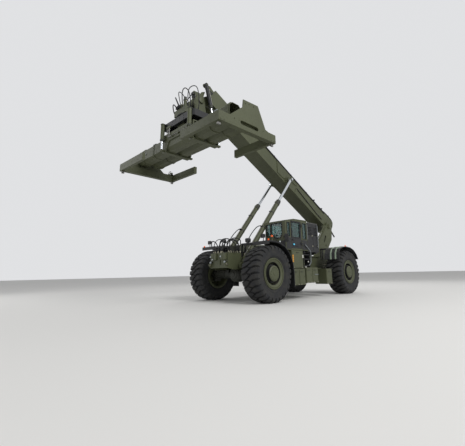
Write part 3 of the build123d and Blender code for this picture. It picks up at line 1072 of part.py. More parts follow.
BEAM_MID_Z = LOCK_Z + (BEAM_LOW + BEAM_HIGH) / 2
COLLARS = (
    # X from the middle to each edge of a band round both housings
    (1650, 1750),
    (2500, 2650),
)
with BuildPart() as spreader_frame:
    for turn in (1, -1):
        # the left beam's housing is the rear one, the right beam's the front one
        with BuildSketch(Plane.YZ.offset(-BEAM_HALF_X)):
            with Locations((SPREADER_Y + turn * BEAM_PITCH / 2, BEAM_MID_Z)):
                beam_outline(0)
        extrude(amount=2 * BEAM_HALF_X)
        for near, far in COLLARS:
            for side in (1, -1):
                with BuildSketch(Plane.YZ.offset(side * near)):
                    with Locations((SPREADER_Y + turn * BEAM_PITCH / 2, BEAM_MID_Z)):
                        beam_outline(15)
                extrude(amount=side * (far - near))
    for tie in (-2400, -1200, 0, 1200, 2400):
        block((tie - 140, tie + 140), (SPREADER_Y - 28, SPREADER_Y + 28),
              (BEAM_MID_Z - 150, BEAM_MID_Z + 150))
    for turn in (1, -1):
        with BuildSketch(Plane.YZ.offset(-BEAM_HALF_X - 10)):
            with Locations((SPREADER_Y + turn * BEAM_PITCH / 2, BEAM_MID_Z)):
                beam_outline(-BEAM_WALL)
        extrude(amount=2 * BEAM_HALF_X + 20, mode=Mode.SUBTRACT)
    # wear pads inside each housing's mouth
    for turn in (1, -1):
        beam_y = SPREADER_Y + turn * BEAM_PITCH / 2
        for up in (1, -1):
            bore = BEAM_MID_Z + up * ((BEAM_HIGH - BEAM_LOW) / 2 - BEAM_WALL)
            block((turn * (BEAM_HALF_X - PAD), turn * (BEAM_HALF_X - 10)), (beam_y - 120, beam_y + 120),
                  (bore - up * (SLIDE_GAP - RUNNING_GAP), bore + up * 5))
finish(spreader_frame.part, "spreader_frame")

# End frames: a tall end plate on its sliding beam, with arms along the container's long edges
END_X = SPREADER_LONG / 2
END_BOX = 180
END_PLATE = 30
END_LOW = 10
END_HIGH = 290
ARM_FROM = 1200
ARM_W = 120
DEEP_HALF = SPREADER_DEEP / 2
SLOT_UP = 210
SLOT_LONG = 770
SLOT_HIGH = 130
LOCK_PIN_R = 27
END_OUTLINE = (
    # from the spreader's centre towards the back, above the lock plane
    (-DEEP_HALF, END_LOW), (-DEEP_HALF, END_HIGH), (-800, END_HIGH + 10), (-280, BEAM_HIGH - 250),
    (-250, BEAM_HIGH + 10), (395, BEAM_HIGH + 40), (730, END_HIGH + 40), (860, END_HIGH + 5),
    (DEEP_HALF, END_HIGH), (DEEP_HALF, END_LOW),
)
for side_name, side in (("left", 1), ("right", -1)):
    with BuildPart() as end_frame:
        side_plate([(SPREADER_Y + side * dy, LOCK_Z + dz) for dy, dz in END_OUTLINE],
                   (side * (END_X - END_PLATE), side * END_X))
        block((side * (END_X - END_BOX), side * (END_X - END_PLATE)),
              (SPREADER_Y - DEEP_HALF, SPREADER_Y + DEEP_HALF), (LOCK_Z + END_LOW, LOCK_Z + END_HIGH))
        with BuildSketch(Plane.YZ.offset(side * (END_X - END_PLATE))):
            with Locations((SPREADER_Y + side * BEAM_PITCH / 2, BEAM_MID_Z)):
                beam_outline(-BEAM_WALL - SLIDE_GAP)
        extrude(amount=-side * (2 * END_X - 700))
        with BuildSketch(Plane.YZ.offset(side * (END_X + 5))):
            with Locations((SPREADER_Y, LOCK_Z + SLOT_UP)):
                SlotOverall(SLOT_LONG, SLOT_HIGH)
        extrude(amount=-side * 105, mode=Mode.SUBTRACT)
        for edge in (1, -1):
            block((side * ARM_FROM, side * (END_X - END_BOX)),
                  (SPREADER_Y + edge * (DEEP_HALF - ARM_W), SPREADER_Y + edge * DEEP_HALF),
                  (LOCK_Z + END_LOW, LOCK_Z + END_HIGH))
            lock_at = (side * LOCK_SPAN_X / 2, SPREADER_Y + edge * LOCK_SPAN_Y / 2)
            block((lock_at[0] - CORNER_HALF, lock_at[0] + CORNER_HALF),
                  (lock_at[1] - CORNER_HALF, lock_at[1] + CORNER_HALF), (LOCK_Z, LOCK_Z + 150))
            z_bar(*lock_at, LOCK_PIN_R + RUNNING_GAP, (LOCK_Z - 5, LOCK_Z + 180), Mode.SUBTRACT)
    finish(end_frame.part, f"end_frame_{side_name}")

for side_name, side in (("left", 1), ("right", -1)):
    for end_name, edge in (("front", -1), ("rear", 1)):
        lock_x = side * LOCK_SPAN_X / 2
        lock_y = SPREADER_Y + edge * LOCK_SPAN_Y / 2
        with BuildPart() as twistlock:
            z_bar(lock_x, lock_y, LOCK_PIN_R, (LOCK_Z - 40, LOCK_Z + 170))
            block((lock_x - 28, lock_x + 28), (lock_y - 52, lock_y + 52), (LOCK_Z - 85, LOCK_Z - 30))
        finish(twistlock.part, f"twistlock_{end_name}_{side_name}")
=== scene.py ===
"""Looks of a rough terrain container handler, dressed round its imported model, in metres."""

import json
import logging
import math
from dataclasses import dataclass
from enum import Enum

import bmesh
import bpy
from mathutils import Matrix, Vector


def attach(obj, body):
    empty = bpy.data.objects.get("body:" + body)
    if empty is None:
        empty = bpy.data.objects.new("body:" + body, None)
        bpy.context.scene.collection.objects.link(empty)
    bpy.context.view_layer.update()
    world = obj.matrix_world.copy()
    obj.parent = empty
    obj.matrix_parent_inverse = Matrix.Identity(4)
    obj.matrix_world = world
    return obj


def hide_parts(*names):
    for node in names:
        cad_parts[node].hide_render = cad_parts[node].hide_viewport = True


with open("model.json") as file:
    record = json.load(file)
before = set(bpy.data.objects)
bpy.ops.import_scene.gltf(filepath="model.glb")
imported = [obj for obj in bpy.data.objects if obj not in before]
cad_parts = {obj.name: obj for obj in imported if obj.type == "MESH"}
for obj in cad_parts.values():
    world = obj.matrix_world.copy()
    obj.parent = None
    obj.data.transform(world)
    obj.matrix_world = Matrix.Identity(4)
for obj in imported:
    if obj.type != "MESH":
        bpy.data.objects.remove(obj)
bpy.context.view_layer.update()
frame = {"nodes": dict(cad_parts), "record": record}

log = logging.getLogger("container_handler")

Point = tuple[float, float, float]
Direction = Vector | Point
Piece = bpy.types.Object

# X grows to the machine's left, Y to its back
LEFT, RIGHT = Vector((1, 0, 0)), Vector((-1, 0, 0))
AHEAD, BACK = Vector((0, -1, 0)), Vector((0, 1, 0))
UP = Vector((0, 0, 1))
SIDES = ((1, "left"), (-1, "right"))

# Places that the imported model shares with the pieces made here
DATUM_Y = 1.09
FRONT_Y = DATUM_Y - 2.93
REAR_Y = FRONT_Y + 5.56
WHEEL_X = 1.47
AXLE_Z = 0.98
SPREADER_Y = DATUM_Y - 5.31
LOCK_Z = 5.06
PIVOT = (0.0, DATUM_Y + 3.4, 3.35)
BOOM_ANGLE = math.radians(28.07)
# Y and Z of the pins of the lift cylinders, the levelling cylinders and the head
LIFT_FOOT = (-2.21, 1.30)
LIFT_EYE = (1.131, 5.255)
LIFT_ANGLE = math.atan2(LIFT_EYE[1] - LIFT_FOOT[1], LIFT_EYE[0] - LIFT_FOOT[0])
LEVEL_TOP = (-3.84, 8.09)
LEVEL_FOOT = (-3.51, 6.85)
TILT_PIN = (-3.99, 7.40)
# The cab's four sides
CAB_FRONT_Y = DATUM_Y - 2.08
CAB_BACK_Y = DATUM_Y - 0.62
CAB_OUT = 1.73
CAB_IN = 0.73

# How pieces are modelled
TIP_RADIUS = 1e-4  # of a ring that closes an end
TIP_MERGE = 5e-4  # draws such a ring into one point
RING_MERGE = 1e-6
TURNED_CREASE = math.radians(35)  # edges sharper than this stay crisp
PIPE_CREASE = math.radians(40)
EDGE_SHARE = 0.45  # the most of a side or of a leg that a rounding takes
BEND_STEPS = 4


def linear(code: str) -> tuple[float, float, float, float]:
    """Turn an sRGB hex colour into Blender's linear values.

    Args:
        code: Six hex digits with a hash.

    Returns:
        Red, green, blue and full opacity.
    """
    parts = [int(code[i:i + 2], 16) / 255 for i in (1, 3, 5)]
    red, green, blue = (p / 12.92 if p <= 0.04045 else ((p + 0.055) / 1.055) ** 2.4 for p in parts)
    return red, green, blue, 1.0


def along_boom(u: float, v: float, x: float) -> Point:
    """Turn a place along and across the boom into the machine's frame.

    Args:
        u: Distance forward along the boom from its pivot.
        v: Distance up across the boom.
        x: Distance to the left.

    Returns:
        The point in metres.
    """
    c, s = math.cos(BOOM_ANGLE), math.sin(BOOM_ANGLE)
    return x, PIVOT[1] - u * c + v * s, PIVOT[2] + u * s + v * c


def lift_cylinder(x: float, along: float, out: float) -> Point:
    """Turn a place along a lift cylinder and in front of its axis into the machine's frame.

    Args:
        x: Distance to the left.
        along: Distance up the cylinder from its foot.
        out: Distance in front of its axis.

    Returns:
        The point in metres.
    """
    c, s = math.cos(LIFT_ANGLE), math.sin(LIFT_ANGLE)
    return x, LIFT_FOOT[0] + along * c - out * s, LIFT_FOOT[1] + along * s + out * c


# Finishes


def add_node(tree: bpy.types.NodeTree, kind: str, links: dict | None = None,
             **settings: object) -> bpy.types.Node:
    """Add one shader node.

    Args:
        tree: The material's node tree.
        kind: Blender's node type.
        links: Input name or number to the socket that feeds it.
        **settings: Attributes, or input defaults where the name is an input's.

    Returns:
        The new node.
    """
    node = tree.nodes.new(kind)
    for name, value in settings.items():
        if hasattr(node, name):
            setattr(node, name, value)
        else:
            node.inputs[name.replace("_", " ")].default_value = value
    for name, socket in (links or {}).items():
        tree.links.new(socket, node.inputs[name])
    return node


def ramp(tree: bpy.types.NodeTree, factor: bpy.types.NodeSocket, low: float,
         high: float) -> bpy.types.NodeSocket:
    """Stretch a noise value between two limits to 0 and 1.

    Args:
        tree: The material's node tree.
        factor: The value to stretch.
        low: The value that becomes 0.
        high: The value that becomes 1.

    Returns:
        The stretched value's socket.
    """
    node = add_node(tree, "ShaderNodeMapRange", {"Value": factor}, clamp=True)
    node.inputs["From Min"].default_value = low
    node.inputs["From Max"].default_value = high
    return node.outputs["Result"]


def noise(tree: bpy.types.NodeTree, size_mm: float, detail: float = 4.0,
          stretch: Point = (1, 1, 1)) -> bpy.types.NodeSocket:
    """Add noise on Object coordinates with blobs of a real size.

    Args:
        tree: The material's node tree.
        size_mm: Rough width of a blob in millimetres.
        detail: Octaves of finer noise.
        stretch: Factors along X, Y and Z.

    Returns:
        The noise's value socket.
    """
    place = add_node(tree, "ShaderNodeTexCoord")
    mapping = add_node(tree, "ShaderNodeMapping", {"Vector": place.outputs["Object"]})
    mapping.inputs["Scale"].default_value = stretch
    return add_node(tree, "ShaderNodeTexNoise", {"Vector": mapping.outputs["Vector"]},
                    Scale=1000 / size_mm, Detail=detail, Roughness=0.6).outputs["Fac"]


def mix(tree: bpy.types.NodeTree, factor: bpy.types.NodeSocket, first: object,
        second: object) -> bpy.types.NodeSocket:
    """Blend two colours by a factor.

    Args:
        tree: The material's node tree.
        factor: 0 gives the first colour, 1 the second.
        first: A colour or a colour socket.
        second: A colour or a colour socket.

    Returns:
        The blended colour's socket.
    """
    node = add_node(tree, "ShaderNodeMix", {"Factor": factor}, data_type="RGBA")
    for index, value in ((6, first), (7, second)):
        if isinstance(value, bpy.types.NodeSocket):
            tree.links.new(value, node.inputs[index])
        else:
            node.inputs[index].default_value = value
    return node.outputs[2]


def blank(name: str) -> tuple[bpy.types.Material, bpy.types.NodeTree, bpy.types.Node]:
    """Start a material with only its shader.

    Args:
        name: The finish in plain words.

    Returns:
        The material, its tree and its Principled shader.
    """
    material = bpy.data.materials.new(name)
    material.use_nodes = True
    tree = material.node_tree
    return material, tree, tree.nodes["Principled BSDF"]


@dataclass(frozen=True)
class Paint:
    """Sprayed alkyd paint on rolled or cast steel: an even colour that dust dulls on top faces."""

    name: str
    colour: str
    faded: str
    dust: str = "#8B8674"
    roughness: float = 0.55
    dusty: float = 0.35
    grain_mm: float = 6.0
    bump: float = 0.08
    patch_mm: float = 900.0  # faded patches, as wide as a door panel
    blotch_mm: float = 70.0  # wear from handling
    dust_mm: float = 180.0
    wear: float = 0.25
    rougher: float = 0.2  # added where it is worn

    def make(self) -> bpy.types.Material:
        """Build the paint's material.

        Returns:
            The material.
        """
        material, tree, shader = blank(self.name)
        patches = ramp(tree, noise(tree, self.patch_mm), 0.35, 0.7)
        body = mix(tree, patches, linear(self.colour), linear(self.faded))
        blotch = ramp(tree, noise(tree, self.blotch_mm, 6), 0.5, 0.75)
        dark = add_node(tree, "ShaderNodeMath", {0: blotch}, operation="MULTIPLY")
        dark.inputs[1].default_value = self.wear
        body = mix(tree, dark.outputs[0], body, linear(self.colour))
        # dust settles on faces that look up
        normal = add_node(tree, "ShaderNodeNewGeometry").outputs["Normal"]
        up = add_node(tree, "ShaderNodeSeparateXYZ", {0: normal}).outputs["Z"]
        level, drifts = ramp(tree, up, 0.2, 1.0), ramp(tree, noise(tree, self.dust_mm, 5), 0.3, 0.7)
        settled = add_node(tree, "ShaderNodeMath", {0: level, 1: drifts}, operation="MULTIPLY")
        share = add_node(tree, "ShaderNodeMath", {0: settled.outputs[0]}, operation="MULTIPLY")
        share.inputs[1].default_value = self.dusty
        colour = mix(tree, share.outputs[0], body, linear(self.dust))
        tree.links.new(colour, shader.inputs["Base Color"])
        rough = add_node(tree, "ShaderNodeMapRange", {"Value": blotch})
        rough.inputs["To Min"].default_value = self.roughness
        rough.inputs["To Max"].default_value = min(1.0, self.roughness + self.rougher)
        tree.links.new(rough.outputs["Result"], shader.inputs["Roughness"])
        grain = noise(tree, self.grain_mm, 2)
        bump = add_node(tree, "ShaderNodeBump", {"Height": grain}, Strength=self.bump, Distance=0.002)
        tree.links.new(bump.outputs["Normal"], shader.inputs["Normal"])
        return material


@dataclass(frozen=True)
class Rubber:
    """Carbon-black rubber, moulded: dark grey, dull, with dried mud in its low places."""

    name: str
    colour: str
    mud: str
    roughness: float = 0.85
    muddy: float = 0.5
    mud_mm: float = 220.0
    grain_mm: float = 8.0  # coarser than the real 1 mm, so that it shows

    def make(self) -> bpy.types.Material:
        """Build the rubber's material.

        Returns:
            The material.
        """
        material, tree, shader = blank(self.name)
        patches = ramp(tree, noise(tree, self.mud_mm, 6), 0.42, 0.72)
        share = add_node(tree, "ShaderNodeMath", {0: patches}, operation="MULTIPLY")
        share.inputs[1].default_value = self.muddy
        colour = mix(tree, share.outputs[0], linear(self.colour), linear(self.mud))
        tree.links.new(colour, shader.inputs["Base Color"])
        shader.inputs["Roughness"].default_value = self.roughness
        grain = noise(tree, self.grain_mm, 3)
        bump = add_node(tree, "ShaderNodeBump", {"Height": grain}, Strength=0.2, Distance=0.003)
        tree.links.new(bump.outputs["Normal"], shader.inputs["Normal"])
        return material


@dataclass(frozen=True)
class Metal:
    """Bare or plated metal: its colour is its reflection, broken by fine streaks."""

    name: str
    colour: str
    roughness: float
    streak_mm: float = 12.0

    def make(self) -> bpy.types.Material:
        """Build the metal's material.

        Returns:
            The material.
        """
        material, tree, shader = blank(self.name)
        shader.inputs["Base Color"].default_value = linear(self.colour)
        shader.inputs["Metallic"].default_value = 1.0
        streaks = noise(tree, self.streak_mm, 3, (1, 1, 0.15))
        rough = add_node(tree, "ShaderNodeMapRange", {"Value": streaks})
        rough.inputs["To Min"].default_value = self.roughness * 0.8
        rough.inputs["To Max"].default_value = self.roughness * 1.4
        tree.links.new(rough.outputs["Result"], shader.inputs["Roughness"])
        return material


@dataclass(frozen=True)
class Glazing:
    """Tinted or coloured clear sheet: float glass for windows, polycarbonate for lenses."""

    name: str
    colour: str
    transmission: float
    roughness: float
    glow: float = 0.0
    film_mm: float = 160.0
    film: float = 0.08  # how much rougher the dusty parts are

    def make(self) -> bpy.types.Material:
        """Build the glazing's material.

        Returns:
            The material.
        """
        material, tree, shader = blank(self.name)
        shader.inputs["Base Color"].default_value = linear(self.colour)
        shader.inputs["Transmission Weight"].default_value = self.transmission
        shader.inputs["IOR"].default_value = 1.45
        # a thin film of dust that makes parts of the pane less clear
        film = add_node(tree, "ShaderNodeMapRange", {"Value": noise(tree, self.film_mm, 5)})
        film.inputs["To Min"].default_value = self.roughness
        film.inputs["To Max"].default_value = self.roughness + self.film
        tree.links.new(film.outputs["Result"], shader.inputs["Roughness"])
        if self.glow:
            shader.inputs["Emission Color"].default_value = linear(self.colour)
            shader.inputs["Emission Strength"].default_value = self.glow
        return material


@dataclass(frozen=True)
class Cloth:
    """Woven polyester seat cloth: a dull colour with a weave drawn at 6 mm so that it shows."""

    name: str
    colour: str
    thread: str
    threads_per_metre: float = 330.0

    def make(self) -> bpy.types.Material:
        """Build the cloth's material.

        Returns:
            The material.
        """
        material, tree, shader = blank(self.name)
        place = add_node(tree, "ShaderNodeTexCoord").outputs["Object"]
        checker = add_node(tree, "ShaderNodeTexChecker", {"Vector": place}, Scale=self.threads_per_metre)
        weave = checker.outputs["Fac"]
        colour = mix(tree, weave, linear(self.colour), linear(self.thread))
        tree.links.new(colour, shader.inputs["Base Color"])
        shader.inputs["Roughness"].default_value = 0.95
        shader.inputs["Sheen Weight"].default_value = 0.3
        bump = add_node(tree, "ShaderNodeBump", {"Height": weave}, Strength=0.3, Distance=0.001)
        tree.links.new(bump.outputs["Normal"], shader.inputs["Normal"])
        return material


class Finish(Enum):
    """The machine's finishes by what they are on."""

    # a dull brown-green that dust greys on its top faces
    OLIVE = Paint("olive_drab_alkyd_paint", "#444831", "#4E5239", dusty=0.2)
    # near black with a soft sheen that keeps its edges readable
    BLACK = Paint("satin_black_chassis_paint", "#151618", "#1F2022", dusty=0.18, roughness=0.5)
    # dark and grainy, a rough casting under old paint and oil
    IRON = Paint("oily_painted_casting", "#2A2C25", "#363830", dusty=0.2, grain_mm=14.0, bump=0.3)
    # pale bands that stand out from the olive
    PALE_GREEN = Paint("pale_green_strap_paint", "#7C8D77", "#8A9A86", dusty=0.1)
    # smooth light grey that draws the rails out against the cab
    GREY_RAIL = Paint("grey_powder_coated_rail", "#71777A", "#7E8386", dusty=0.1, roughness=0.4)
    # small bright spots on the boxes: a white latch, and white spots that are painted highlights of small
    # glints
    WHITE_PAINT = Paint("white_latch_enamel_and_painted_glints", "#D8D8D0", "#C6C6BE", dusty=0.1, roughness=0.35)
    # dull dark grey, with dried mud that breaks it up between the blocks
    TYRE = Rubber("worn_tread_rubber", "#212224", "#47443B", muddy=0.35)
    # black with a faint light along each loop
    HOSE = Rubber("braided_hose_rubber", "#16171A", "#34332F", roughness=0.6, muddy=0.3)
    # flat black lines round panes and openings
    SEAL = Rubber("window_seal_rubber", "#121315", "#26272A", roughness=0.7, muddy=0.2)
    # a mirror: one sharp bright streak along each rod
    CHROME = Metal("hard_chrome_rod", "#D4D8DC", 0.14)
    # a soft grey shine, blurred by handling
    STEEL = Metal("worn_bare_steel", "#8C8B88", 0.42)
    # small warm glints of nuts and bolts
    ZINC = Metal("zinc_plated_fasteners", "#A9A694", 0.38)
    # blue-green panes that darken what is behind them
    GLASS = Glazing("teal_tinted_float_glass", "#7FA6A2", 0.88, 0.03)
    # a warm orange that seems lit from inside
    AMBER = Glazing("amber_polycarbonate_lens", "#E2641A", 0.35, 0.2, glow=0.25)
    # flat yellow-orange patches with a painted glow that keeps them bright from all sides
    REFLECTOR = Glazing("orange_reflector_sheet_painted_glow", "#C98B2C", 0.05, 0.3, glow=0.12)
    # a small lens by the door whose pale blue glow is a painted glint of the sky
    BLUE_LENS = Glazing("lamp_lens_with_painted_sky_glint", "#5FC4E6", 0.3, 0.15, glow=0.5)
    # deep red blocks at the tail
    RED_LENS = Glazing("red_polycarbonate_lens", "#A81C14", 0.3, 0.2, glow=0.1)
    # pale discs that catch the sky
    CLEAR_LENS = Glazing("clear_fluted_lamp_lens", "#B4BABC", 0.4, 0.15, glow=0.08)
    # soft black without a highlight
    SEAT = Cloth("black_woven_seat_cloth", "#1B1C1F", "#2C2D31")


class Finishes:
    """Makes each finish once and puts it on pieces."""

    def __init__(self) -> None:
        """Start with no finish made."""
        self.made: dict[Finish, bpy.types.Material] = {}

    def get(self, finish: Finish) -> bpy.types.Material:
        """Give a finish's material, made the first time.

        Args:
            finish: The finish asked for.

        Returns:
            Its material.
        """
        if finish not in self.made:
            self.made[finish] = finish.value.make()
        return self.made[finish]

    def dress(self, piece: Piece, finish: Finish) -> None:
        """Put one finish on the whole piece."""
        piece.data.materials.clear()
        piece.data.materials.append(self.get(finish))


# Modelling by operators


def only(piece: Piece) -> Piece:
    """Select one object alone and make it active.

    Args:
        piece: The object.

    Returns:
        The same object.
    """
    bpy.ops.object.select_all(action="DESELECT")
    piece.select_set(True)
    bpy.context.view_layer.objects.active = piece
    return piece


def settle(piece: Piece) -> Piece:
    """Move a piece's place into its mesh.

    Args:
        piece: The piece as the operator added it.

    Returns:
        The same piece, its own place now the origin.
    """
    only(piece)
    bpy.ops.object.transform_apply(location=True, rotation=True, scale=True)
    return piece


def modify(piece: Piece, kind: str, **settings: object) -> Piece:
    """Add a modifier and apply it.

    Args:
        piece: The mesh to change.
        kind: Blender's modifier type.
        **settings: The modifier's attributes.

    Returns:
        The same piece.
    """
    only(piece)
    modifier = piece.modifiers.new(kind.lower(), kind)
    for name, value in settings.items():
        setattr(modifier, name, value)
    bpy.ops.object.modifier_apply(modifier=modifier.name)
    return piece


def box(low: Point, high: Point, bevel: float = 0.006, segments: int = 2) -> Piece:
    """Model a block between two corners with rounded edges.

    Args:
        low: Lowest corner.
        high: Highest corner.
        bevel: Radius of its edges.
        segments: Faces across a rounded edge.

    Returns:
        The block.
    """
    bpy.ops.object.select_all(action="DESELECT")
    bpy.ops.mesh.primitive_cube_add(size=1, location=[(a + b) / 2 for a, b in zip(low, high)])
    piece = bpy.context.object
    piece.scale = [abs(b - a) for a, b in zip(low, high)]
    settle(piece)
    size = min(abs(b - a) for a, b in zip(low, high))
    width = min(bevel, size * EDGE_SHARE)
    return modify(piece, "BEVEL", width=width, segments=segments, limit_method="ANGLE")


def side_box(side: int, x: tuple[float, float], y: tuple[float, float], z: tuple[float, float],
             bevel: float) -> Piece:
    """Model a block on one side of the machine.

    Args:
        side: 1 on the left, -1 on the right.
        x: From and to, away from the middle.
        y: From and to, towards the back.
        z: From and to, upwards.
        bevel: Radius of its edges.

    Returns:
        The block.
    """
    near, far = sorted(side * value for value in x)
    return box((near, y[0], z[0]), (far, y[1], z[1]), bevel)


def turned(profile: list[tuple[float, float]], origin: Point, axis: Direction, segments: int = 24) -> Piece:
    """Model a turned piece by extruding a circle ring by ring.

    Args:
        profile: Distance along the axis and radius, ring by ring; a radius of 0 closes an end.
        origin: Where the axis starts.
        axis: The axis' direction.
        segments: Sides round the axis.

    Returns:
        The turned piece.
    """
    bpy.ops.object.select_all(action="DESELECT")
    start = max(profile[0][1], TIP_RADIUS)
    bpy.ops.mesh.primitive_circle_add(vertices=segments, radius=start, location=(0, 0, profile[0][0]))
    piece = settle(bpy.context.object)
    bpy.ops.object.mode_set(mode="EDIT")
    bpy.ops.mesh.select_all(action="SELECT")
    along, radius = profile[0][0], start
    for next_along, next_radius in profile[1:]:
        next_radius = max(next_radius, TIP_RADIUS)
        ratio = next_radius / radius
        bpy.ops.mesh.extrude_region_move(TRANSFORM_OT_translate={"value": (0, 0, next_along - along)})
        bpy.ops.transform.resize(value=(ratio, ratio, 1), center_override=(0, 0, next_along))
        along, radius = next_along, next_radius
    bpy.ops.mesh.select_all(action="SELECT")
    tipped = min(r for _, r in profile) < TIP_MERGE
    bpy.ops.mesh.remove_doubles(threshold=TIP_MERGE if tipped else RING_MERGE)
    bpy.ops.mesh.normals_make_consistent(inside=False)
    bpy.ops.object.mode_set(mode="OBJECT")
    turn = UP.rotation_difference(Vector(axis).normalized())
    piece.data.transform(Matrix.Translation(origin) @ turn.to_matrix().to_4x4())
    only(piece)
    bpy.ops.object.shade_smooth_by_angle(angle=TURNED_CREASE)
    return piece


def rod(start: Point, end: Point, radius: float, segments: int = 16) -> Piece:
    """Model a round bar with chamfered ends between two points.

    Args:
        start: One end.
        end: The other end.
        radius: The bar's radius.
        segments: Sides round the bar.

    Returns:
        The bar.
    """
    line = Vector(end) - Vector(start)
    cut = min(radius * 0.2, line.length * 0.2)
    return turned([(0, 0), (0, radius - cut), (cut, radius), (line.length - cut, radius),
                   (line.length, radius - cut), (line.length, 0)], start, line, segments)


def twin_of(piece: Piece, place: Matrix) -> Piece:
    """Copy a piece to another place.

    Args:
        piece: The piece to copy; it stays.
        place: Where the copy goes, from where the piece stands.

    Returns:
        The copy.
    """
    twin = piece.copy()
    twin.data = piece.data.copy()
    twin.data.transform(place)
    bpy.context.collection.objects.link(twin)
    return twin


def copies(piece: Piece, places: list[Matrix]) -> Piece:
    """Repeat a piece at each place and join the copies into one mesh.

    Args:
        piece: The piece to repeat; it is used up.
        places: Where each copy goes, from where the piece stands.

    Returns:
        The joined copies.
    """
    made = [twin_of(piece, place) for place in places]
    bpy.data.objects.remove(piece)
    return join(made)


def join(parts: list[Piece]) -> Piece:
    """Join several pieces into one mesh.

    Args:
        parts: The pieces; they are used up.

    Returns:
        The one mesh.
    """
    bpy.ops.object.select_all(action="DESELECT")
    for part in parts:
        part.select_set(True)
    bpy.context.view_layer.objects.active = parts[0]
    if len(parts) > 1:
        bpy.ops.object.join()
    return bpy.context.object


def ring_places(count: int, origin: Point, axis: str = "X", start: float = 0.0) -> list[Matrix]:
    """Give the places of copies turned round an axis through a point.

    Args:
        count: How many places.
        origin: The point.
        axis: The letter of the axis' direction.
        start: Angle of the first place in radians.

    Returns:
        The places.
    """
    centre = Matrix.Translation(origin)
    return [centre @ Matrix.Rotation(start + math.tau * i / count, 4, axis) @ centre.inverted()
            for i in range(count)]


def mirror_x(piece: Piece) -> Piece:
    """Give a copy of a piece on the machine's other side, its faces still outwards.

    Args:
        piece: The piece to copy; it stays.

    Returns:
        The copy.
    """
    twin = twin_of(piece, Matrix.Scale(-1, 4, LEFT))
    twin.data.flip_normals()
    return twin


def bolts(points: list[Point], axis: Direction, size: float = 0.016) -> Piece:
    """Model hexagon bolts with washers at several points of flat faces.

    Args:
        points: Points on the faces.
        axis: The way that the heads point.
        size: Half the head's width.

    Returns:
        The joined bolts.
    """
    head = turned([(-0.002, 1.35 * size), (0.2 * size, 1.35 * size), (0.22 * size, size), (0.9 * size, size),
                   (size, 0.8 * size), (size, 0)], (0, 0, 0), Vector(axis), 6)
    return copies(head, [Matrix.Translation(point) for point in points])


def grid(xs: list[float], ys: list[float], zs: list[float]) -> list[Point]:
    """Give every point whose coordinates come from three lists."""
    return [(x, y, z) for x in xs for y in ys for z in zs]


def circle_points(centre: Point, radius: float, count: int, axis: str = "X", start: float = 0.0) -> list[Point]:
    """Give points round a circle about a line along X, Y or Z.

    Args:
        centre: The circle's centre.
        radius: Its radius.
        count: How many points.
        axis: The letter of the line's direction.
        start: Angle of the first point in radians.

    Returns:
        The points.
    """
    points = []
    for i in range(count):
        a = start + math.tau * i / count
        c, s = radius * math.cos(a), radius * math.sin(a)
        offset = {"X": (0, c, s), "Y": (c, 0, s), "Z": (c, s, 0)}[axis]
        points.append(tuple(p + o for p, o in zip(centre, offset)))
    return points


def pipe(points: list[Point], radius: float, bend: float = 0.05, resolution: int = 4) -> Piece:
    """Model a bent round bar or pipe with closed ends.

    Args:
        points: Its corners and ends.
        radius: The pipe's radius.
        bend: Length of each leg that a bend takes.
        resolution: Faces round a quarter of the pipe.

    Returns:
        The pipe as a mesh.
    """
    line = [Vector(points[0])]
    for before, corner, after in zip(points, points[1:], points[2:]):
        before, corner, after = Vector(before), Vector(corner), Vector(after)
        take = min(bend, (corner - before).length * EDGE_SHARE, (after - corner).length * EDGE_SHARE)
        start = corner + (before - corner).normalized() * take
        end = corner + (after - corner).normalized() * take
        for step in range(BEND_STEPS + 1):
            t = step / BEND_STEPS
            line.append((1 - t) ** 2 * start + 2 * t * (1 - t) * corner + t ** 2 * end)
    line.append(Vector(points[-1]))
    curve = bpy.data.curves.new("pipe", "CURVE")
    curve.dimensions = "3D"
    spline = curve.splines.new("POLY")
    spline.points.add(len(line) - 1)
    for point, place in zip(spline.points, line):
        point.co = (*place, 1)
    curve.bevel_depth = radius
    curve.bevel_resolution = resolution - 2
    curve.use_fill_caps = True
    piece = bpy.data.objects.new("pipe", curve)
    bpy.context.collection.objects.link(piece)
    only(piece)
    bpy.ops.object.convert(target="MESH")
    piece = only(bpy.context.object)
    bpy.ops.object.shade_smooth_by_angle(angle=PIPE_CREASE)
    return piece


def rim(outline: list[Point], width: float, out: Direction, depth: float = 0.012) -> Piece:
    """Model a flat frame inside a closed outline, such as a pane's seal.

    Args:
        outline: Its outer corners, all in one plane.
        width: How far in it reaches.
        out: The way that it stands off the plane.
        depth: Its thickness.

    Returns:
        The frame.
    """
    bpy.ops.object.select_all(action="DESELECT")
    bpy.ops.mesh.primitive_circle_add(vertices=len(outline), radius=1, fill_type="NGON")
    piece = bpy.context.object
    for vert, place in zip(piece.data.vertices, outline):
        vert.co = place
    bpy.ops.object.mode_set(mode="EDIT")
    bpy.ops.mesh.select_all(action="SELECT")
    bpy.ops.mesh.inset(thickness=width, depth=0)
    bpy.ops.mesh.delete(type="FACE")
    bpy.ops.mesh.select_all(action="SELECT")
    bpy.ops.mesh.extrude_region_move(TRANSFORM_OT_translate={"value": [o * depth for o in out]})
    bpy.ops.mesh.select_all(action="SELECT")
    bpy.ops.mesh.normals_make_consistent(inside=False)
    bpy.ops.object.mode_set(mode="OBJECT")
    return modify(piece, "BEVEL", width=depth * 0.3, segments=2, limit_method="ANGLE")


def rectangle(x: tuple[float, ...], y: tuple[float, ...], z: tuple[float, ...]) -> list[Point]:
    """Give the corners of a rectangle that is flat in X or in Y.

    Args:
        x: From and to, or the one value where it is flat.
        y: From and to, or the one value where it is flat.
        z: From and to.

    Returns:
        Its four corners in order.
    """
    if len(x) == 1:
        return [(x[0], y[0], z[0]), (x[0], y[1], z[0]), (x[0], y[1], z[1]), (x[0], y[0], z[1])]
    return [(x[0], y[0], z[0]), (x[1], y[0], z[0]), (x[1], y[0], z[1]), (x[0], y[0], z[1])]


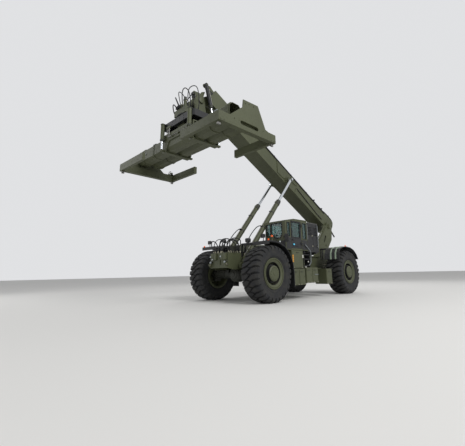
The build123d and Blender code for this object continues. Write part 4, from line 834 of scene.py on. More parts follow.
def handle(start: Point, end: Point, out: Direction, rise: float = 0.05, radius: float = 0.008) -> Piece:
    """Model a bow handle between two feet.

    Args:
        start: One foot.
        end: The other foot.
        out: The way that it stands off.
        rise: How far it stands off.
        radius: The bar's radius.

    Returns:
        The handle.
    """
    lift = [o * rise for o in out]
    high = [tuple(p + o for p, o in zip(point, lift)) for point in (start, end)]
    return pipe([start, high[0], high[1], end], radius, 0.03)


@dataclass
class SubAssembly:
    """What every part of the machine shares: its finishes and the way that a piece is handed over."""

    finishes: Finishes

    def place(self, piece: Piece, name: str, body: str, finish: Finish,
              slot: str | None = None) -> Piece:
        """Name a piece, dress it and let it ride on a body.

        Args:
            piece: The finished mesh.
            name: Its name.
            body: The CAD body that carries it.
            finish: Its finish.
            slot: Not used.

        Returns:
            The same piece.
        """
        piece.name = name
        piece.data.name = name
        self.finishes.dress(piece, finish)
        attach(piece, body)
        log.info("%s: %d faces on %s", name, len(piece.data.polygons), body)
        return piece

    def put(self, name: str, finish: Finish, *parts: Piece, body: str = "chassis") -> Piece:
        """Join parts into one piece and place it.

        Args:
            name: The piece's name.
            finish: Its finish.
            *parts: Its meshes, in the order they were made.
            body: The CAD body that carries it.

        Returns:
            The piece.
        """
        return self.place(join(list(parts)), name, body, finish)



@dataclass
class Wheel(SubAssembly):
    """A wheel's tyre with its tread, the nuts of its rim and a black ring of painted shade in the rim's recess.
    """

    lugs: int = 28
    tread_radius: float = 0.98
    half_width: float = 0.388
    lug_depth: float = 0.068
    lug_root: float = 0.025  # how deep a block sits in the carcass
    lug_foot: float = 0.82  # a block's share of the pitch at its foot
    lug_top: float = 0.64  # and at its top
    centre_gap: float = 0.024
    shoulder: float = 0.285  # where the tread starts to fall away
    stagger: float = 0.075
    sweep: float = 0.14
    sweep_end: float = 0.27
    nuts: int = 20
    cover_bolts: int = 12

    def carcass(self) -> Piece:
        """Model the tyre's body with ribs round its sidewalls.

        Returns:
            The body about the origin.
        """
        # across from the middle, and radius, from the bead out to the tread's floor
        half = [(0.3, 0.532), (0.345, 0.585), (0.35, 0.60), (0.362, 0.604), (0.366, 0.625), (0.358, 0.632),
                (0.368, 0.68), (0.376, 0.74), (0.378, 0.79), (0.382, 0.796), (0.382, 0.812), (0.372, 0.82),
                (0.34, 0.885), (0.29, 0.912)]
        profile = [(-0.29, 0.507), (-0.296, 0.532)] + [(-x, r) for x, r in half] + [(0, 0.916)]
        profile += [(x, r) for x, r in reversed(half)] + [(0.296, 0.532), (0.29, 0.507), (-0.29, 0.507)]
        return turned(profile, (0, 0, 0), LEFT, 96)

    def lug(self) -> Piece:
        """Model one tread block, cut slantwise at the middle and swept back towards its shoulder.

        Returns:
            The block where it stands on the tyre.
        """
        bpy.ops.object.select_all(action="DESELECT")
        bpy.ops.mesh.primitive_cube_add(size=1, location=(0.5, 0, 0.5))
        piece = settle(bpy.context.object)
        bpy.ops.object.mode_set(mode="EDIT")
        mesh = bmesh.from_edit_mesh(piece.data)
        bpy.ops.mesh.select_all(action="DESELECT")
        for edge in mesh.edges:
            edge.select_set(abs(edge.verts[0].co.x - edge.verts[1].co.x) > 0.5)
        bmesh.update_edit_mesh(piece.data)
        bpy.ops.mesh.subdivide(number_cuts=7)
        mesh = bmesh.from_edit_mesh(piece.data)
        pitch = math.tau / self.lugs
        for vert in mesh.verts:
            out, across, up = vert.co
            start = self.centre_gap + 2 * across * self.stagger
            reach = start + out * (self.half_width - start)
            crown = self.tread_radius - max(0.0, reach - self.shoulder) ** 1.25 * 1.35
            radius = crown - (self.lug_depth + self.lug_root) * (1 - up)
            bend = math.sin(max(-1.0, min(1.0, reach / self.sweep_end)) * math.pi / 2)
            share = self.lug_foot if up < 0.5 else self.lug_top
            turn = across * pitch * share - bend * self.sweep / self.tread_radius
            vert.co = (reach, radius * math.cos(turn), radius * math.sin(turn))
        bmesh.update_edit_mesh(piece.data)
        bpy.ops.mesh.select_all(action="SELECT")
        bpy.ops.mesh.normals_make_consistent(inside=False)
        bpy.ops.object.mode_set(mode="OBJECT")
        return modify(piece, "BEVEL", width=0.008, segments=1, limit_method="ANGLE")

    def tyre(self) -> Piece:
        """Model the whole tyre about the origin, its inner blocks the outer ones turned half round.

        Returns:
            The tyre.
        """
        outer = ring_places(self.lugs, (0, 0, 0))
        inner = [place @ Matrix.Rotation(math.pi, 4, "Y") for place in outer]
        return join([self.carcass(), copies(self.lug(), outer + inner)])

    def fasteners(self) -> Piece:
        """Model the wheel nuts in the recess, the bolts round the hub's cover and the tyre's valve.

        Returns:
            The fasteners about the origin.
        """
        nut = turned([(0, 0.021), (0.03, 0.021), (0.034, 0.016), (0.055, 0.014), (0.06, 0.0)],
                     (0.128, 0.346, 0), LEFT, 6)
        bolt = turned([(0, 0.013), (0.014, 0.013), (0.018, 0.009), (0.018, 0.0)], (0.353, 0.20, 0), LEFT, 6)
        valve = (0.14, 0.40, 0), (0.30, 0.425, 0.0)
        return join([copies(nut, ring_places(self.nuts, (0, 0, 0))),
                     copies(bolt, ring_places(self.cover_bolts, (0, 0, 0), "X", 0.1)), rod(*valve, 0.008, 8)])

    def recess_shade(self) -> Piece:
        """Model a black ring of painted shade that lines the recess between hub and rim.

        Returns:
            The ring about the origin.
        """
        return turned([(0.325, 0.2675), (0.2365, 0.2765), (0.2365, 0.3005), (0.133, 0.3195), (0.133, 0.3705),
                       (0.286, 0.3865), (0.286, 0.3845), (0.136, 0.3685), (0.136, 0.3215), (0.239, 0.3025),
                       (0.239, 0.2785), (0.325, 0.2705), (0.325, 0.2675)], (0, 0, 0), LEFT, 64)

    def build(self) -> None:
        """Put a tyre, its fasteners and the black ring of painted shade at each corner."""
        models = ((self.tyre(), "tread_tyre", Finish.TYRE, "tyre"),
                  (self.fasteners(), "wheel_nuts", Finish.OLIVE, None),
                  # a black ring of painted shade in the rim's recess
                  (self.recess_shade(), "dust_shield", Finish.BLACK, None))
        for name, side, axle_y in (("front_left", 1, FRONT_Y), ("front_right", -1, FRONT_Y),
                                   ("rear_left", 1, REAR_Y), ("rear_right", -1, REAR_Y)):
            turn = Matrix.Rotation(0 if side > 0 else math.pi, 4, "Z")
            for model, part, finish, slot in models:
                twin = twin_of(model, Matrix.Translation((side * WHEEL_X, axle_y, AXLE_Z)) @ turn)
                self.place(twin, f"{part}_{name}", f"wheel_{name}", finish, slot)
                if finish is Finish.TYRE:
                    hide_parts(f"tyre_{name}")
        for model, *_ in models:
            bpy.data.objects.remove(model)


@dataclass
class Hoses(SubAssembly):
    """Hydraulic hoses that loop freely between two fittings."""

    lift_x: float = 0.55
    lift_diameter: float = 0.036
    lift_length: float = 1.65

    def hose(self, name: str, body: str, points: list[Point], diameter: float, length: float) -> None:
        """Lay one hose along a few chosen points.

        Args:
            name: Its name.
            body: The CAD body that carries both its ends.
            points: From the fitting where it leaves to the one where it ends.
            diameter: Outer diameter.
            length: Its real length.
        """
        curve = bpy.data.curves.new(name, "CURVE")
        curve.dimensions = "3D"
        spline = curve.splines.new("NURBS")
        spline.points.add(len(points) - 1)
        for point, place in zip(spline.points, points):
            point.co = (*place, 1)
        spline.order_u = 3
        spline.use_endpoint_u = True
        spline.resolution_u = 12
        curve.bevel_depth = diameter / 2
        curve.bevel_resolution = 4
        curve.use_fill_caps = True
        piece = bpy.data.objects.new(name, curve)
        bpy.context.collection.objects.link(piece)
        self.finishes.dress(piece, Finish.HOSE)
        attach(piece, body)
        ends = []
        for end, inward in ((points[0], points[1]), (points[-1], points[-2])):
            line = (Vector(inward) - Vector(end)).normalized()
            foot = Vector(end) - 0.012 * line
            ends.append(turned([(0, 0.75 * diameter), (0.03, 0.75 * diameter), (0.032, 0.62 * diameter),
                                (0.075, 0.6 * diameter), (0.078, 0)], tuple(foot), line, 8))
        ferrules = self.place(join(ends), f"{name}_ferrules", body, Finish.ZINC)
        log.info("%s: hose of %.2f m on %s", name, length, body)

    def build(self) -> None:
        """Lay the nose's hoses, the head's hoses and the lift cylinders' hoses."""
        table = (
            # name, body, points, diameter, length
            ("nose_hose_1", "chassis",
             [(0.46, -2.62, 1.76), (0.44, -2.71, 2.03), (0.54, -2.66, 2.28), (0.76, -2.42, 2.24),
              (0.64, -2.32, 1.96), (0.46, -2.40, 1.76)], 0.036, 1.36),
            ("nose_hose_2", "chassis",
             [(0.18, -2.77, 1.76), (0.16, -2.92, 1.95), (0.20, -2.90, 2.22), (0.34, -2.62, 2.28),
              (0.46, -2.34, 2.05), (0.46, -2.30, 1.76)], 0.040, 1.41),
            ("nose_hose_3", "chassis",
             [(-0.22, -2.77, 1.76), (-0.26, -2.86, 2.00), (-0.18, -2.76, 2.26), (0.02, -2.62, 2.26),
              (0.10, -2.70, 2.00), (0.06, -2.77, 1.76)], 0.027, 1.23),
            ("nose_hose_4", "chassis",
             [(-0.30, -2.77, 1.76), (-0.32, -2.90, 1.98), (-0.38, -2.84, 2.22), (-0.47, -2.56, 2.20),
              (-0.48, -2.42, 1.98), (-0.46, -2.42, 1.76)], 0.037, 1.20),
            ("nose_hose_5", "chassis",
             [(-0.46, -2.26, 1.76), (-0.44, -2.30, 2.02), (-0.32, -2.30, 2.24), (-0.14, -2.52, 2.24),
              (-0.06, -2.76, 2.02), (-0.08, -2.77, 1.76)], 0.038, 1.32),
            ("nose_hose_6", "chassis",
             [(0.46, -2.16, 1.76), (0.44, -2.20, 2.00), (0.32, -2.26, 2.24), (0.16, -2.48, 2.22),
              (0.12, -2.74, 2.00), (0.12, -2.77, 1.76)], 0.040, 1.31),
            ("nose_hose_7", "chassis",
             [(0.46, -2.72, 1.76), (0.44, -2.84, 1.99), (0.60, -2.86, 2.22), (0.86, -2.68, 2.16),
              (0.76, -2.50, 1.90), (0.47, -2.51, 1.76)], 0.040, 1.38),
            ("head_hose_1", "head",
             [(0.0, -4.60, 7.09), (0.02, -4.68, 7.55), (0.0, -4.54, 7.90), (-0.06, -4.26, 7.84),
              (-0.08, -4.18, 7.30), (-0.08, -4.20, 6.91)], 0.038, 1.96),
            ("head_hose_2", "head",
             [(-0.10, -4.60, 7.09), (-0.14, -4.70, 7.50), (-0.28, -4.60, 7.82), (-0.30, -4.32, 7.72),
              (-0.22, -4.18, 7.24), (-0.20, -4.16, 6.91)], 0.031, 1.81),
            ("head_hose_3", "head",
             [(-0.19, -4.60, 7.09), (-0.26, -4.72, 7.42), (-0.50, -4.62, 7.64), (-0.64, -4.34, 7.40),
              (-0.58, -4.20, 6.95), (-0.385, -4.20, 6.80)], 0.038, 1.67),
            ("head_hose_4", "head",
             [(-0.30, -4.55, 6.92), (-0.36, -4.68, 7.20), (-0.62, -4.64, 7.36), (-0.82, -4.44, 7.12),
              (-0.68, -4.32, 6.84), (-0.385, -4.32, 6.78)], 0.040, 1.48),
            ("head_hose_5", "head",
             [(0.16, -4.44, 6.91), (0.18, -4.52, 7.40), (0.24, -4.50, 7.80), (0.48, -4.32, 7.84),
              (0.52, -4.24, 7.40), (0.50, -4.22, 6.90), (0.385, -4.22, 6.80)], 0.033, 2.17),
            ("slew_hose", "head",
             [(0.27, -4.62, 7.14), (0.44, -4.64, 7.16), (0.54, -4.50, 7.46), (0.34, -4.30, 7.54),
              (0.14, -4.26, 7.20), (0.10, -4.28, 6.91)], 0.034, 1.36),
        )
        for row in table:
            self.hose(*row)
        # along the cylinder from its foot, and out from its axis
        lift_run = ((1.95, 0.095), (1.86, 0.24), (1.35, 0.33), (0.90, 0.30), (0.52, 0.24), (0.42, 0.095))
        for side, name in SIDES:
            run = [lift_cylinder(side * self.lift_x, along, out) for along, out in lift_run]
            self.hose(f"lift_hose_{name}", f"lift_barrel_{name}", run, self.lift_diameter, self.lift_length)


@dataclass
class NoseTrim(SubAssembly):
    """The hydraulic valve bank on the frame's nose, its lamps, tow pins and brackets."""

    face_y: float = -2.785
    sections: tuple[float, ...] = (-0.33, -0.21, -0.09, 0.09, 0.21, 0.33)
    ported: tuple[float, ...] = (-0.33, -0.21, 0.21, 0.33)
    section_half: float = 0.048
    plate_top: float = 1.785
    lamps_x: tuple[float, float] = (-0.39, 0.39)
    lamp_z: float = 1.42
    tow_y: float = -2.845
    tow_z: float = 1.33
    work_lamp: Point = (-0.07, -2.42, 2.21)

    def valve_bank(self) -> None:
        """Model the bank's sections with their ports and coils, and the plate that they stand on."""
        half = self.section_half
        sections = [box((x - half, -2.58, 1.78), (x + half, -2.10, 2.0), 0.008) for x in self.sections]
        port = [(0, 0.03), (0.04, 0.03), (0.042, 0.024), (0.055, 0.022), (0.056, 0)]
        ports = [turned(port, (x, y, 1.99), UP, 6) for x in self.ported for y in (-2.46, -2.20)]
        self.put("valve_bank", Finish.IRON, *sections, *ports)
        coil = [(0, 0.022), (0.015, 0.022), (0.018, 0.034), (0.085, 0.034), (0.09, 0.012), (0.11, 0.012),
                (0.112, 0)]
        self.put("valve_coils", Finish.SEAL,
                 *[turned(coil, (x, -2.57, z), AHEAD, 16) for x in self.sections for z in (1.85, 1.94)])
        plate = box((-0.47, -2.66, 1.745), (0.47, -1.56, self.plate_top), 0.006)
        feet = bolts(grid([-0.44, 0.44], [-2.62, -2.3, -1.94, -1.6], [self.plate_top]), UP, 0.015)
        self.put("valve_bank_plate", Finish.BLACK, plate, feet)

    def face(self) -> None:
        """Model the manifolds, lamps and tow pins on the nose's front."""
        manifolds = [box((x - 0.07, -2.86, 1.50), (x + 0.07, self.face_y, 1.74), 0.01)
                     for x in (-0.34, -0.19, 0.2, 0.34)]
        manifolds.append(box((0.015, -2.82, 1.32), (0.065, self.face_y, 1.61), 0.006))
        self.put("nose_manifolds", Finish.OLIVE, *manifolds)
        lens = [(0, 0.034), (0.026, 0.037), (0.03, 0.035), (0.032, 0.03), (0.028, 0.026), (0.03, 0.0)]
        self.put("nose_lamps", Finish.CLEAR_LENS,
                 *[turned(lens, (x, self.face_y - 0.075, self.lamp_z), AHEAD, 20) for x in self.lamps_x])
        shell = [(0, 0.02), (0.03, 0.038), (0.075, 0.043), (0.08, 0.04), (0.08, 0)]
        self.put("nose_lamp_bodies", Finish.BLACK,
                 *[turned(shell, (x, self.face_y, self.lamp_z), AHEAD, 20) for x in self.lamps_x])
        pins = []
        for side in (1, -1):
            for near, far, radius in ((0.42, 0.49, 0.03), (0.485, 0.497, 0.042)):
                ends = [(side * x, self.tow_y, self.tow_z) for x in (near, far)]
                pins.append(rod(*ends, radius))
        self.put("tow_pins", Finish.ZINC, *pins)

    def lamps(self) -> None:
        """Model the work lamp on its stalk and the small spot lenses."""
        x, _, z = self.work_lamp
        head = turned([(0, 0.05), (0.05, 0.085), (0.10, 0.085), (0.11, 0.078), (0.10, 0.07), (0.10, 0.0)],
                      self.work_lamp, Vector((0, -1, 0.2)), 20)
        self.put("nose_work_lamp", Finish.BLACK, head, rod((x, -2.46, 1.98), (x, -2.46, z - 0.05), 0.018))
        spot = [(0, 0.02), (0.03, 0.032), (0.04, 0.026), (0.04, 0)]
        self.put("nose_spot_lenses", Finish.CLEAR_LENS,
                 *[turned(spot, (x, -2.855, z), AHEAD, 14)
                   for x, z in ((-0.39, 1.62), (-0.29, 1.52), (0.17, 1.62))])

    def build(self) -> None:
        """Model the nose's trim."""
        self.valve_bank()
        self.face()
        self.lamps()
        self.put("brake_line_bracket", Finish.OLIVE, box((0.80, -1.72, 1.60), (0.92, -1.60, 1.72), 0.006),
                 box((0.47, -1.69, 1.64), (0.83, -1.63, 1.70), 0.006))


@dataclass
class FrameTrim(SubAssembly):
    """Bolts, pin keepers, pipes, drive shaft, strut and tail lamps of the frame."""

    side_x: float = 0.478
    pipe_lines: int = 4
    pipe_pitch: float = 0.05
    shaft_z: float = 0.98
    front_yoke: float = 0.33  # from the axle
    rear_yoke: float = 0.31
    strut_x: float = 0.6
    tail_y: float = 5.44
    tail_lamp_x: float = 0.86
    tow_y: float = 5.40

    def fasteners(self) -> None:
        """Model the bolts of axles, boom pivot and lift feet, and the keepers beside them."""
        heads = []
        for side in (1, -1):
            for axle_y in (FRONT_Y, REAR_Y):
                rows = [axle_y + offset for offset in (-0.14, -0.05, 0.05, 0.14)]
                heads.append(bolts(grid([side * 0.48], rows, [1.22, 1.36]), (side, 0, 0), 0.018))
            pivot = (side * 0.51, PIVOT[1], PIVOT[2])
            heads.append(bolts(circle_points(pivot, 0.112, 10), (side, 0, 0), 0.013))
            heads.append(bolts(circle_points((side * 0.725, *LIFT_FOOT), 0.03, 3), (side, 0, 0), 0.01))
        self.put("frame_bolts", Finish.ZINC, *heads)
        keepers = []
        for side in (1, -1):
            keepers.append(side_box(side, (0.529, 0.545), (PIVOT[1] - 0.035, PIVOT[1] + 0.035),
                                    (PIVOT[2] - 0.13, PIVOT[2] + 0.13), 0.004))
            keepers += [side_box(side, (self.side_x, 0.51), (y, y + 0.09), (z, z + 0.06), 0.006)
                        for y, z in ((4.05, 2.30), (2.95, 1.90), (4.55, 1.90))]
        self.put("pivot_keepers", Finish.OLIVE, *keepers)

    def pipes(self) -> None:
        """Model the hard pipes along both side plates and their clamps."""
        lines = []
        for i in range(self.pipe_lines):
            x, z = 0.494 + 0.002 * i, 1.62 - self.pipe_pitch * i
            low = z - 0.12
            lines.append(pipe([(-x, -0.6, z), (-x, 2.4, z), (-x, 2.6, low), (-x, 3.2, low)], 0.011, 0.06))
            lines.append(pipe([(x, -0.62, z), (x, -0.2, z), (x, 2.5, z)], 0.011, 0.06))
        clamps = [side_box(side, (self.side_x, 0.515), (y, y + 0.04), (1.44, 1.65), 0.005)
                  for side in (1, -1) for y in (-0.5, 0.3, 1.1, 1.9, 2.4)]
        self.put("frame_pipes", Finish.STEEL, *lines)
        self.put("frame_pipe_clamps", Finish.BLACK, *clamps)

    def driveline(self) -> None:
        """Model the shaft between the axles with a yoke at each end."""
        start, end = FRONT_Y + self.front_yoke, REAR_Y - self.front_yoke
        yoke = [(0, 0.09), (0.03, 0.09), (0.04, 0.055), (0.12, 0.055), (0.13, 0.03)]
        self.put("drive_shaft", Finish.STEEL, rod((0, start, self.shaft_z), (0, end, self.shaft_z), 0.05),
                 turned(yoke, (0, start, self.shaft_z), BACK, 20),
                 turned(yoke, (0, REAR_Y - self.rear_yoke, self.shaft_z), AHEAD, 20))

    def tower(self) -> None:
        """Model the strut before the boom's tower and the covers behind its keyholes."""
        strut = rod((self.strut_x, 3.037, 2.527), (self.strut_x, 3.815, 3.294), 0.028)
        feet = [box((0.475, y - 0.05, z - 0.04), (0.63, y + 0.05, z + 0.04), 0.006)
                for y, z in ((3.48, 2.96), (3.80, 3.28))]
        self.put("tower_strut", Finish.OLIVE, strut, *feet)
        self.put("keyhole_covers", Finish.BLACK,
                 *[side_box(side, (0.43, 0.437), (3.80, 4.20), (2.36, 2.88), 0.002) for side in (1, -1)])

    def tail(self) -> None:
        """Model the counterweight's bolts, the tow pin and the tail lamps."""
        self.put("counterweight_bolts", Finish.ZINC,
                 bolts(grid([-0.7, -0.35, 0.35, 0.7], [self.tail_y], [1.02, 1.40]), BACK, 0.024))
        self.put("rear_tow_pin", Finish.ZINC, rod((0, self.tow_y, 1.06), (0, self.tow_y, 1.32), 0.03),
                 rod((0, self.tow_y, 1.30), (0, self.tow_y, 1.36), 0.045))
        for side, name in SIDES:
            x = side * self.tail_lamp_x
            self.put(f"tail_lamp_{name}", Finish.RED_LENS,
                     box((x - 0.09, 5.425, 1.15), (x + 0.09, 5.46, 1.24), 0.008))
            self.put(f"tail_lamp_frame_{name}", Finish.BLACK,
                     rim(rectangle((x - 0.11, x + 0.11), (5.43,), (1.13, 1.26)), 0.018, BACK, 0.035))

    def build(self) -> None:
        """Model the frame's fittings."""
        self.fasteners()
        self.pipes()
        self.driveline()
        self.tower()
        self.tail()


@dataclass
class FenderTrim(SubAssembly):
    """Rolled edges and bolts of the fenders, straps over the rear ones, a marker and a spot."""

    long_scale: float = 1.1
    rise_scale: float = 1.13
    # along and up from the axle, as shares of the two scales
    front: tuple[tuple[float, float], ...] = (
        (-0.245, 1.0), (0.07, 0.99), (0.3, 0.955), (0.52, 0.87), (0.72, 0.73), (0.88, 0.54), (0.972, 0.33),
        (1.014, 0.07), (1.014, -0.44))
    rear: tuple[tuple[float, float], ...] = (
        (-0.875, 0.51), (-0.84, 0.76), (-0.72, 0.93), (-0.47, 1.01), (-0.14, 1.03), (0.23, 1.0), (0.52, 0.905),
        (0.75, 0.735), (0.875, 0.53))
    edges: tuple[float, float] = (1.107, 1.843)
    straps_x: tuple[float, float] = (1.42, 1.66)
    strap_points: int = 5
    strap_spread: float = 1.4  # a strap is this much wider than it is thick
    stalk_at: tuple[float, float] = (1.60, -1.65)

    def line(self, axle_y: float, rows: tuple[tuple[float, float], ...],
             lift: float) -> list[tuple[float, float]]:
        """Give a fender's outer line of Y and Z, raised off its plate."""
        return [(axle_y + along * self.long_scale, AXLE_Z + up * self.rise_scale + lift)
                for along, up in rows]

    def edge_beads(self) -> None:
        """Model the rolled edge along both sides of each fender."""
        beads = [pipe([(side * x, y, z) for y, z in self.line(axle_y, rows, -0.004)], 0.011, 0.06)
                 for axle_y, rows in ((FRONT_Y, self.front), (REAR_Y, self.rear))
                 for side in (1, -1) for x in self.edges]
        self.put("fender_beads", Finish.BLACK, *beads)

    def straps(self) -> None:
        """Model the flat straps over the front of the rear fenders."""
        straps = []
        for side in (1, -1):
            for x in self.straps_x:
                middle = (side * x, 0, 0)
                run = self.line(REAR_Y, self.rear[:self.strap_points], -0.006)
                strap = pipe([(side * x, y, z) for y, z in run], 0.03, 0.1)
                strap.data.transform(Matrix.Translation(middle) @ Matrix.Scale(self.strap_spread, 4, (1, 0, 0))
                                     @ Matrix.Translation(middle).inverted())
                straps.append(strap)
        self.put("rear_fender_straps", Finish.PALE_GREEN, *straps)

    def lamps(self) -> None:
        """Model the marker on its stalk and the spot at the fender's corner."""
        x, y = self.stalk_at
        # half width, half depth, from and to upwards, bevel
        sizes = ((0.045, 0.05, 2.06, 2.10, 0.006), (0.025, 0.03, 2.09, 2.26, 0.012),
                 (0.045, 0.05, 2.24, 2.27, 0.006))
        stalk = [box((x - half, y - deep, low), (x + half, y + deep, high), bevel)
                 for half, deep, low, high, bevel in sizes]
        self.put("marker_stalk", Finish.OLIVE, *stalk)
        dome = [(0, 0.042), (0.03, 0.042), (0.055, 0.034), (0.07, 0.018), (0.074, 0.0)]
        self.put("marker_dome", Finish.AMBER, turned(dome, (x, y, 2.268), UP, 20))
        spot = [(0, 0.022), (0.03, 0.034), (0.045, 0.03), (0.05, 0.0)]
        self.put("fender_spot", Finish.CLEAR_LENS,
                 turned(spot, (1.83, -1.48, 2.075), Vector((0.6, -0.6, 0.5)), 16))

    def build(self) -> None:
        """Model the fenders' trim."""
        self.edge_beads()
        self.straps()
        self.lamps()
        # along from the axle on the fender's flat top, and the top's height
        tops = ((FRONT_Y, -0.1, 2.107), (REAR_Y, 0.0, 2.132))
        seats = [(side * x, axle_y + along * self.long_scale, z) for side in (1, -1) for x in (1.16, 1.79)
                 for axle_y, along, z in tops]
        self.put("fender_bolts", Finish.ZINC, bolts(seats, UP, 0.012))


@dataclass
class CabTrim(SubAssembly):
    """Seals, wipers, rails, handles and the seat's cushions of the cab."""

    foot_z: float = 1.87
    sheet: float = 0.006
    wiper_x: float = 1.30
    backrest_lean: float = math.radians(-7)
    cushion_soft: float = 0.7

    def panels(self) -> None:
        """Model the black sheets round the cab's foot, the one under the windscreen being painted shade, and
        the lamp beside the door's handle, whose pale blue glow is a painted glint of the sky.
        """
        y = CAB_FRONT_Y
        sheets = [box((CAB_OUT, y + 0.03, self.foot_z), (CAB_OUT + self.sheet, y + 0.325, 2.31), 0.002),
                  box((CAB_OUT, y + 1.045, self.foot_z), (CAB_OUT + self.sheet, y + 1.44, 2.25), 0.002),
                  # the sheet under the windscreen is painted shade
                  box((0.76, y - self.sheet, self.foot_z), (1.70, y, 2.18), 0.002)]
        self.put("cab_foot_sheets_and_painted_shade", Finish.BLACK, *sheets)
        # the lamp's pale blue glow is a painted glint of the sky
        lamp = turned([(0, 0.03), (0.02, 0.034), (0.03, 0.026), (0.034, 0.0)], (CAB_OUT, -0.50, 2.05), LEFT, 16)
        self.put("door_lamp_painted_sky_glint", Finish.BLUE_LENS, lamp, body="cab_door")

    def seals(self) -> None:
        """Model the rubber round each pane."""
        y = CAB_FRONT_Y
        windscreen = [(1.03, y, 2.475), (1.25, y, 2.272), (1.485, y, 2.288), (1.572, y, 2.425),
                      (1.582, y, 2.882), (1.03, y, 2.882)]
        parts = [rim(windscreen, 0.03, AHEAD),
                 rim(rectangle((0.778, 0.997), (y,), (2.398, 2.862)), 0.028, AHEAD),
                 rim(rectangle((CAB_OUT,), (y + 0.08, y + 0.28), (2.34, 2.89)), 0.026, LEFT),
                 rim(rectangle((CAB_OUT,), (y + 1.11, y + 1.37), (2.28, 2.94)), 0.026, LEFT),
                 rim(rectangle((CAB_IN,), (y + 0.14, y + 1.37), (2.34, 2.92)), 0.03, RIGHT),
                 rim(rectangle((0.84, 1.62), (CAB_BACK_Y,), (2.44, 2.92)), 0.03, BACK, 0.009)]
        self.put("window_seals", Finish.SEAL, *parts)
        door = rim(rectangle((CAB_OUT,), (-0.61, -0.05), (2.31, 2.94)), 0.028, LEFT)
        self.put("door_window_seal", Finish.SEAL, door, body="cab_door")

    def rails(self) -> None:
        """Model the wiper, the grab rails and the door's pull."""
        x, y = self.wiper_x, CAB_FRONT_Y - 0.018
        self.put("wiper", Finish.BLACK,
                 pipe([(x, y + 0.03, 2.21), (x, y - 0.012, 2.22), (x - 0.08, y - 0.014, 2.52)], 0.007, 0.02),
                 box((1.10, y - 0.014, 2.40), (1.34, y - 0.002, 2.416), 0.003),
                 rod((x, CAB_FRONT_Y + 0.01, 2.21), (x, y - 0.02, 2.21), 0.018),
                 box((1.205, y - 0.010, 2.30), (1.217, y + 0.006, 2.74), 0.003))
        out, post_y = CAB_OUT - 0.01, CAB_FRONT_Y + 0.01
        self.put("cab_grab_rails", Finish.GREY_RAIL,
                 handle((out, 0.43, 2.30), (out, 0.43, 2.90), LEFT, 0.05, 0.012),
                 handle((1.69, 1.24, 2.0), (1.69, 1.24, 2.92), LEFT, 0.06, 0.014),
                 handle((CAB_IN + 0.03, post_y, 2.05), (CAB_IN + 0.03, post_y, 2.36), AHEAD, 0.05, 0.01))
        self.put("door_pull", Finish.BLACK,
                 handle((CAB_OUT - 0.005, -0.52, 2.0), (CAB_OUT - 0.005, -0.20, 2.0), LEFT, 0.035, 0.009),
                 body="cab_door")

    def roof(self) -> None:
        """Model the cabinet's catches, the roof's hatch and its bolts."""
        catches = [box((1.708, y, z), (1.726, y + 0.06, z + 0.05), 0.005)
                   for y in (0.82, 1.225) for z in (2.02, 2.45)]
        self.put("cabinet_catches", Finish.ZINC, *catches)
        self.put("roof_hatch", Finish.OLIVE, box((0.85, -0.30, 3.028), (1.61, 0.36, 3.066), 0.012),
                 box((0.95, -0.18, 3.05), (1.51, 0.26, 3.082), 0.012))
        # the roof rises from its front bolts to its rear ones
        heads = [(x, y, z) for y, z in ((-0.42, 3.012), (0.40, 3.062)) for x in (0.79, 1.67)]
        self.put("roof_bolts", Finish.ZINC, bolts(heads, UP, 0.014))

    def seat(self) -> None:
        """Model the seat's padded cushions on their pan."""
        base = box((1.06, -0.13, 2.165), (1.40, 0.24, 2.21), 0.01)
        post = box((1.08, -0.12, 1.886), (1.38, 0.22, 2.17), 0.02)
        ribs = [box((1.085, -0.115, z), (1.375, 0.215, z + 0.012), 0.004) for z in (1.93, 1.99, 2.05, 2.11)]
        pan = self.put("seat_frame", Finish.BLACK, base, post, *ribs)
        cushion = modify(box((1.0, -0.19, 2.17), (1.46, 0.28, 2.30), 0.05, 4), "SUBSURF",
                         levels=1, render_levels=1)
        back = modify(box((1.02, 0.27, 2.22), (1.44, 0.37, 2.80), 0.04, 4), "SUBSURF",
                      levels=1, render_levels=1)
        hinge = Matrix.Translation((0, 0.27, 2.22))
        back.data.transform(hinge @ Matrix.Rotation(self.backrest_lean, 4, "X") @ hinge.inverted())
        cushion = self.place(cushion, "seat_cushion", "chassis", Finish.SEAT, "seat")
        back = self.place(back, "seat_backrest", "chassis", Finish.SEAT, "seat")
        for piece in (pan, cushion, back):
            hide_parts("cab_seat")
        for piece in (cushion, back):
            bpy.context.view_layer.objects.active = piece

    def build(self) -> None:
        """Model the cab's trim."""
        self.panels()
        self.seals()
        self.rails()
        self.roof()
        self.seat()


